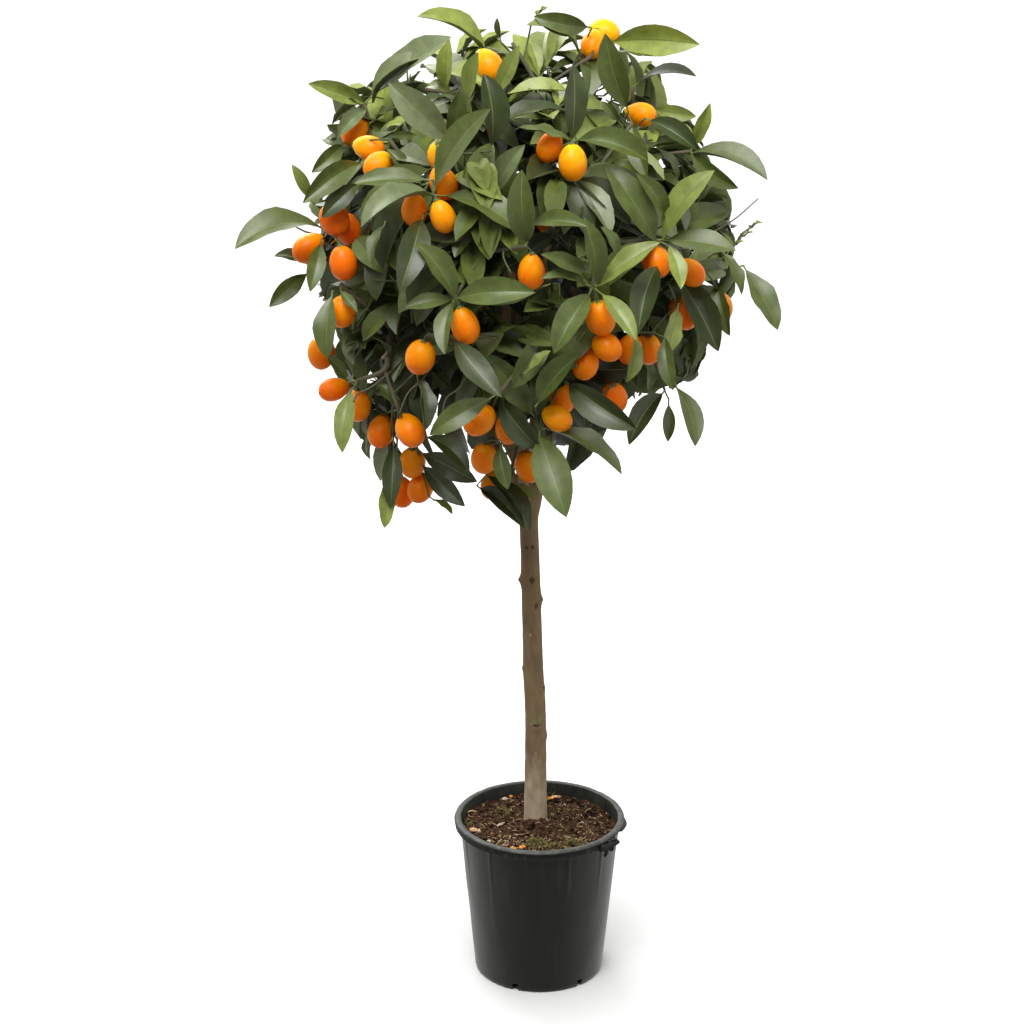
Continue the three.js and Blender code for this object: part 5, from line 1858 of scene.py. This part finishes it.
# The larger bits: look, across, back, size, bearing, tilt.
LITTER = [
    ("straw", -80, 31, (15, 4.5, 1.0), 78, 8),
    ("leaf_green", -85, 10, (12, 2.6, 0.9), 40, 40),
    ("leaf_green", -83, 4, (10, 2.4, 0.9), 120, 30),
    ("peel", -77, -15, (10, 8, 5), 95, 5),
    ("pale", -71, -21, (6, 5, 4), 60, 0),
    ("orange", -34, 74, (7, 5.5, 4), 10, 30),
    ("pale", -41, 66, (8, 5.5, 3.5), 80, 5),
    ("peel", 20, 72, (14, 6, 2.4), 84, 8),
    ("orange", 13, 69, (9, 5, 2), 96, 6),
    ("leaf_green", 13, 82, (11, 1.8, 0.8), 20, 68),
    ("leaf_green", 17, 82, (11, 1.8, 0.8), 95, 50),
    ("leaf_green", 10, 82, (8, 1.8, 0.8), -80, 45),
    ("pale", -43, -3, (12, 2.8, 2.0), 25, 35),
    ("pale", -46, -8, (8, 3.0, 2.0), 110, 10),
    ("straw", -46, -40, (8, 1.8, 1.2), 140, 15),
    ("pale", -59, -44, (5, 4, 2.2), 70, 0),
    ("orange", -31, -62, (9, 5.5, 3.4), 86, 6),
    ("orange", -20, -60, (8, 6, 3.6), 100, 10),
    ("pale", -26, -57, (4, 2.4, 1.2), 20, 40),
    ("straw", 36, -30, (6, 1.6, 1.0), 10, 60),
    ("pale", 50, 4, (5, 2.6, 1.6), 60, 20),
    ("orange", 70, -42, (7, 3.4, 1.6), 80, 5),
    ("straw", 70, 2, (11, 1.3, 0.9), 88, 4),
    ("straw", 58, 40, (12, 1.3, 0.9), 130, 8),
    ("olive", 15, 6, (9, 6, 6), 0, 60),
]


def soil_materials():
    """The soil, then the bits on it in the order of SOIL_LOOKS."""
    tones = [
        ("soil_crumb", (0.062, 0.033, 0.019)),
        ("soil_dark", (0.017, 0.009, 0.006)),
        ("litter_bark", (0.270, 0.170, 0.100)),
        ("litter_straw", (0.430, 0.320, 0.190)),
        ("litter_pale", (0.620, 0.520, 0.390)),
        ("litter_moss", (0.190, 0.165, 0.062)),
        ("litter_orange", (0.760, 0.300, 0.060)),
        ("litter_green", (0.140, 0.200, 0.050)),
        ("litter_olive", (0.150, 0.130, 0.055)),
        ("litter_peel", (0.720, 0.430, 0.220)),
    ]
    return [
        mottled(
            name, colour, 1.0, (330, 6),
            [(0.32, shaded(colour, 0.35)), (0.5, colour), (0.7, shaded(colour, 1.7))],
            (None, 1.2), Specular_IOR_Level=0.05,
        )
        for name, colour in tones
    ]


# ---- stage ----

FLOOR_HALF = 30  # metres, as is all of the stage
LIGHTS = [
    # name, place, size, watts
    ("key", (-0.45, -1.6, 3.5), 1.9, 130),
    ("fill", (2.2, -1.6, 1.4), 1.6, 10),
    ("back", (-0.9, 1.9, 2.2), 1.6, 40),
]
LIT_POINT = Vector((0, 0, 0.7))  # what they aim at
CAMERA_PLACE = (-0.0322, -2.8, 1.533)
CAMERA_TILT = 71.01  # degrees from straight down
LENS = 92.3
SENSOR = 36


def graded(nodes, low, high, least, most):
    """A node that goes from least to most as its input goes from low to high."""
    grade = nodes.new("ShaderNodeMapRange")
    ends = {"From Min": low, "From Max": high, "To Min": least, "To Max": most}
    for socket, value in ends.items():
        grade.inputs[socket].default_value = value
    return grade


def floor():
    """A pale floor that fades into the white backdrop as it leaves the pot; close to the pot it gives
    off no light, a painted shadow round the pot's foot.
    """
    mesh = bpy.data.meshes.new("floor")
    corners = [(-1, -1), (1, -1), (1, 1), (-1, 1)]
    mesh.from_pydata([(x * FLOOR_HALF, y * FLOOR_HALF, 0) for x, y in corners], [], [(0, 1, 2, 3)])
    plane = bpy.data.objects.new("floor", mesh)
    bpy.context.scene.collection.objects.link(plane)
    plane.visible_diffuse = False
    plane.visible_glossy = False
    white = new_material("floor_white", (0.67, 0.67, 0.67), 0.7)
    nodes, links = white.node_tree.nodes, white.node_tree.links
    shader = nodes["Principled BSDF"]
    shader.inputs["Emission Color"].default_value = (1, 1, 1, 1)
    coordinates = nodes.new("ShaderNodeTexCoord")
    apart = nodes.new("ShaderNodeVectorMath")
    apart.operation = "LENGTH"
    # Painted shadow: the floor's emission is nothing within 8 cm of the pot's middle and full from 40
    # cm out.
    painted_shadow_glow = graded(nodes, 0.08, 0.4, 0.0, 0.65)
    links.new(coordinates.outputs["Object"], apart.inputs[0])
    links.new(apart.outputs["Value"], painted_shadow_glow.inputs["Value"])
    links.new(painted_shadow_glow.outputs["Result"], shader.inputs["Emission Strength"])
    mesh.materials.append(white)


def area_light(name, place, size, watts):
    light = bpy.data.lights.new(name, "AREA")
    light.size = size
    light.energy = watts
    lamp = bpy.data.objects.new(name, light)
    lamp.location = place
    lamp.rotation_euler = (LIT_POINT - Vector(place)).to_track_quat("-Z", "Y").to_euler()
    bpy.context.scene.collection.objects.link(lamp)


def studio():
    """Soft light from all round, and a pure white backdrop for the camera."""
    world = bpy.data.worlds.new("studio")
    world.use_nodes = True
    nodes, links = world.node_tree.nodes, world.node_tree.links
    around = nodes["Background"]
    around.inputs["Color"].default_value = (1, 0.99, 0.96, 1)
    sky = nodes.new("ShaderNodeTexCoord")
    parts = nodes.new("ShaderNodeSeparateXYZ")
    brighter_behind = graded(nodes, -0.7, 0.9, 0.32, 1.15)
    links.new(sky.outputs["Generated"], parts.inputs["Vector"])
    links.new(parts.outputs["Y"], brighter_behind.inputs["Value"])
    links.new(brighter_behind.outputs["Result"], around.inputs["Strength"])
    backdrop = nodes.new("ShaderNodeBackground")
    backdrop.inputs["Color"].default_value = (1, 1, 1, 1)
    path = nodes.new("ShaderNodeLightPath")
    mix = nodes.new("ShaderNodeMixShader")
    links.new(path.outputs["Is Camera Ray"], mix.inputs["Fac"])
    links.new(around.outputs["Background"], mix.inputs[1])
    links.new(backdrop.outputs["Background"], mix.inputs[2])
    links.new(mix.outputs["Shader"], nodes["World Output"].inputs["Surface"])
    bpy.context.scene.world = world
    for light in LIGHTS:
        area_light(*light)


def camera():
    """The photo's own view, found from the ellipses of the pot's rim and base."""
    lens = bpy.data.cameras.new("camera")
    lens.lens = LENS
    lens.sensor_width = SENSOR
    view = bpy.data.objects.new("camera", lens)
    view.location = CAMERA_PLACE
    view.rotation_euler = (math.radians(CAMERA_TILT), 0, 0)
    bpy.context.scene.collection.objects.link(view)
    bpy.context.scene.camera = view


def main():
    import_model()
    bpy.context.scene.view_settings.view_transform = "Standard"
    camera()
    studio()
    floor()
    materials = {
        "leaves": leaf_materials(),
        "twigs": twig_materials(),
        "fruit": fruit_materials(),
        "bark": bark_materials(),
        "pot": pot_materials(),
        "soil": soil_materials(),
    }
    crown = Crown()
    pot_piece(materials)
    soil_piece(materials)
    trunk_piece(crown, materials)
    grow_crown(crown, materials)


main()
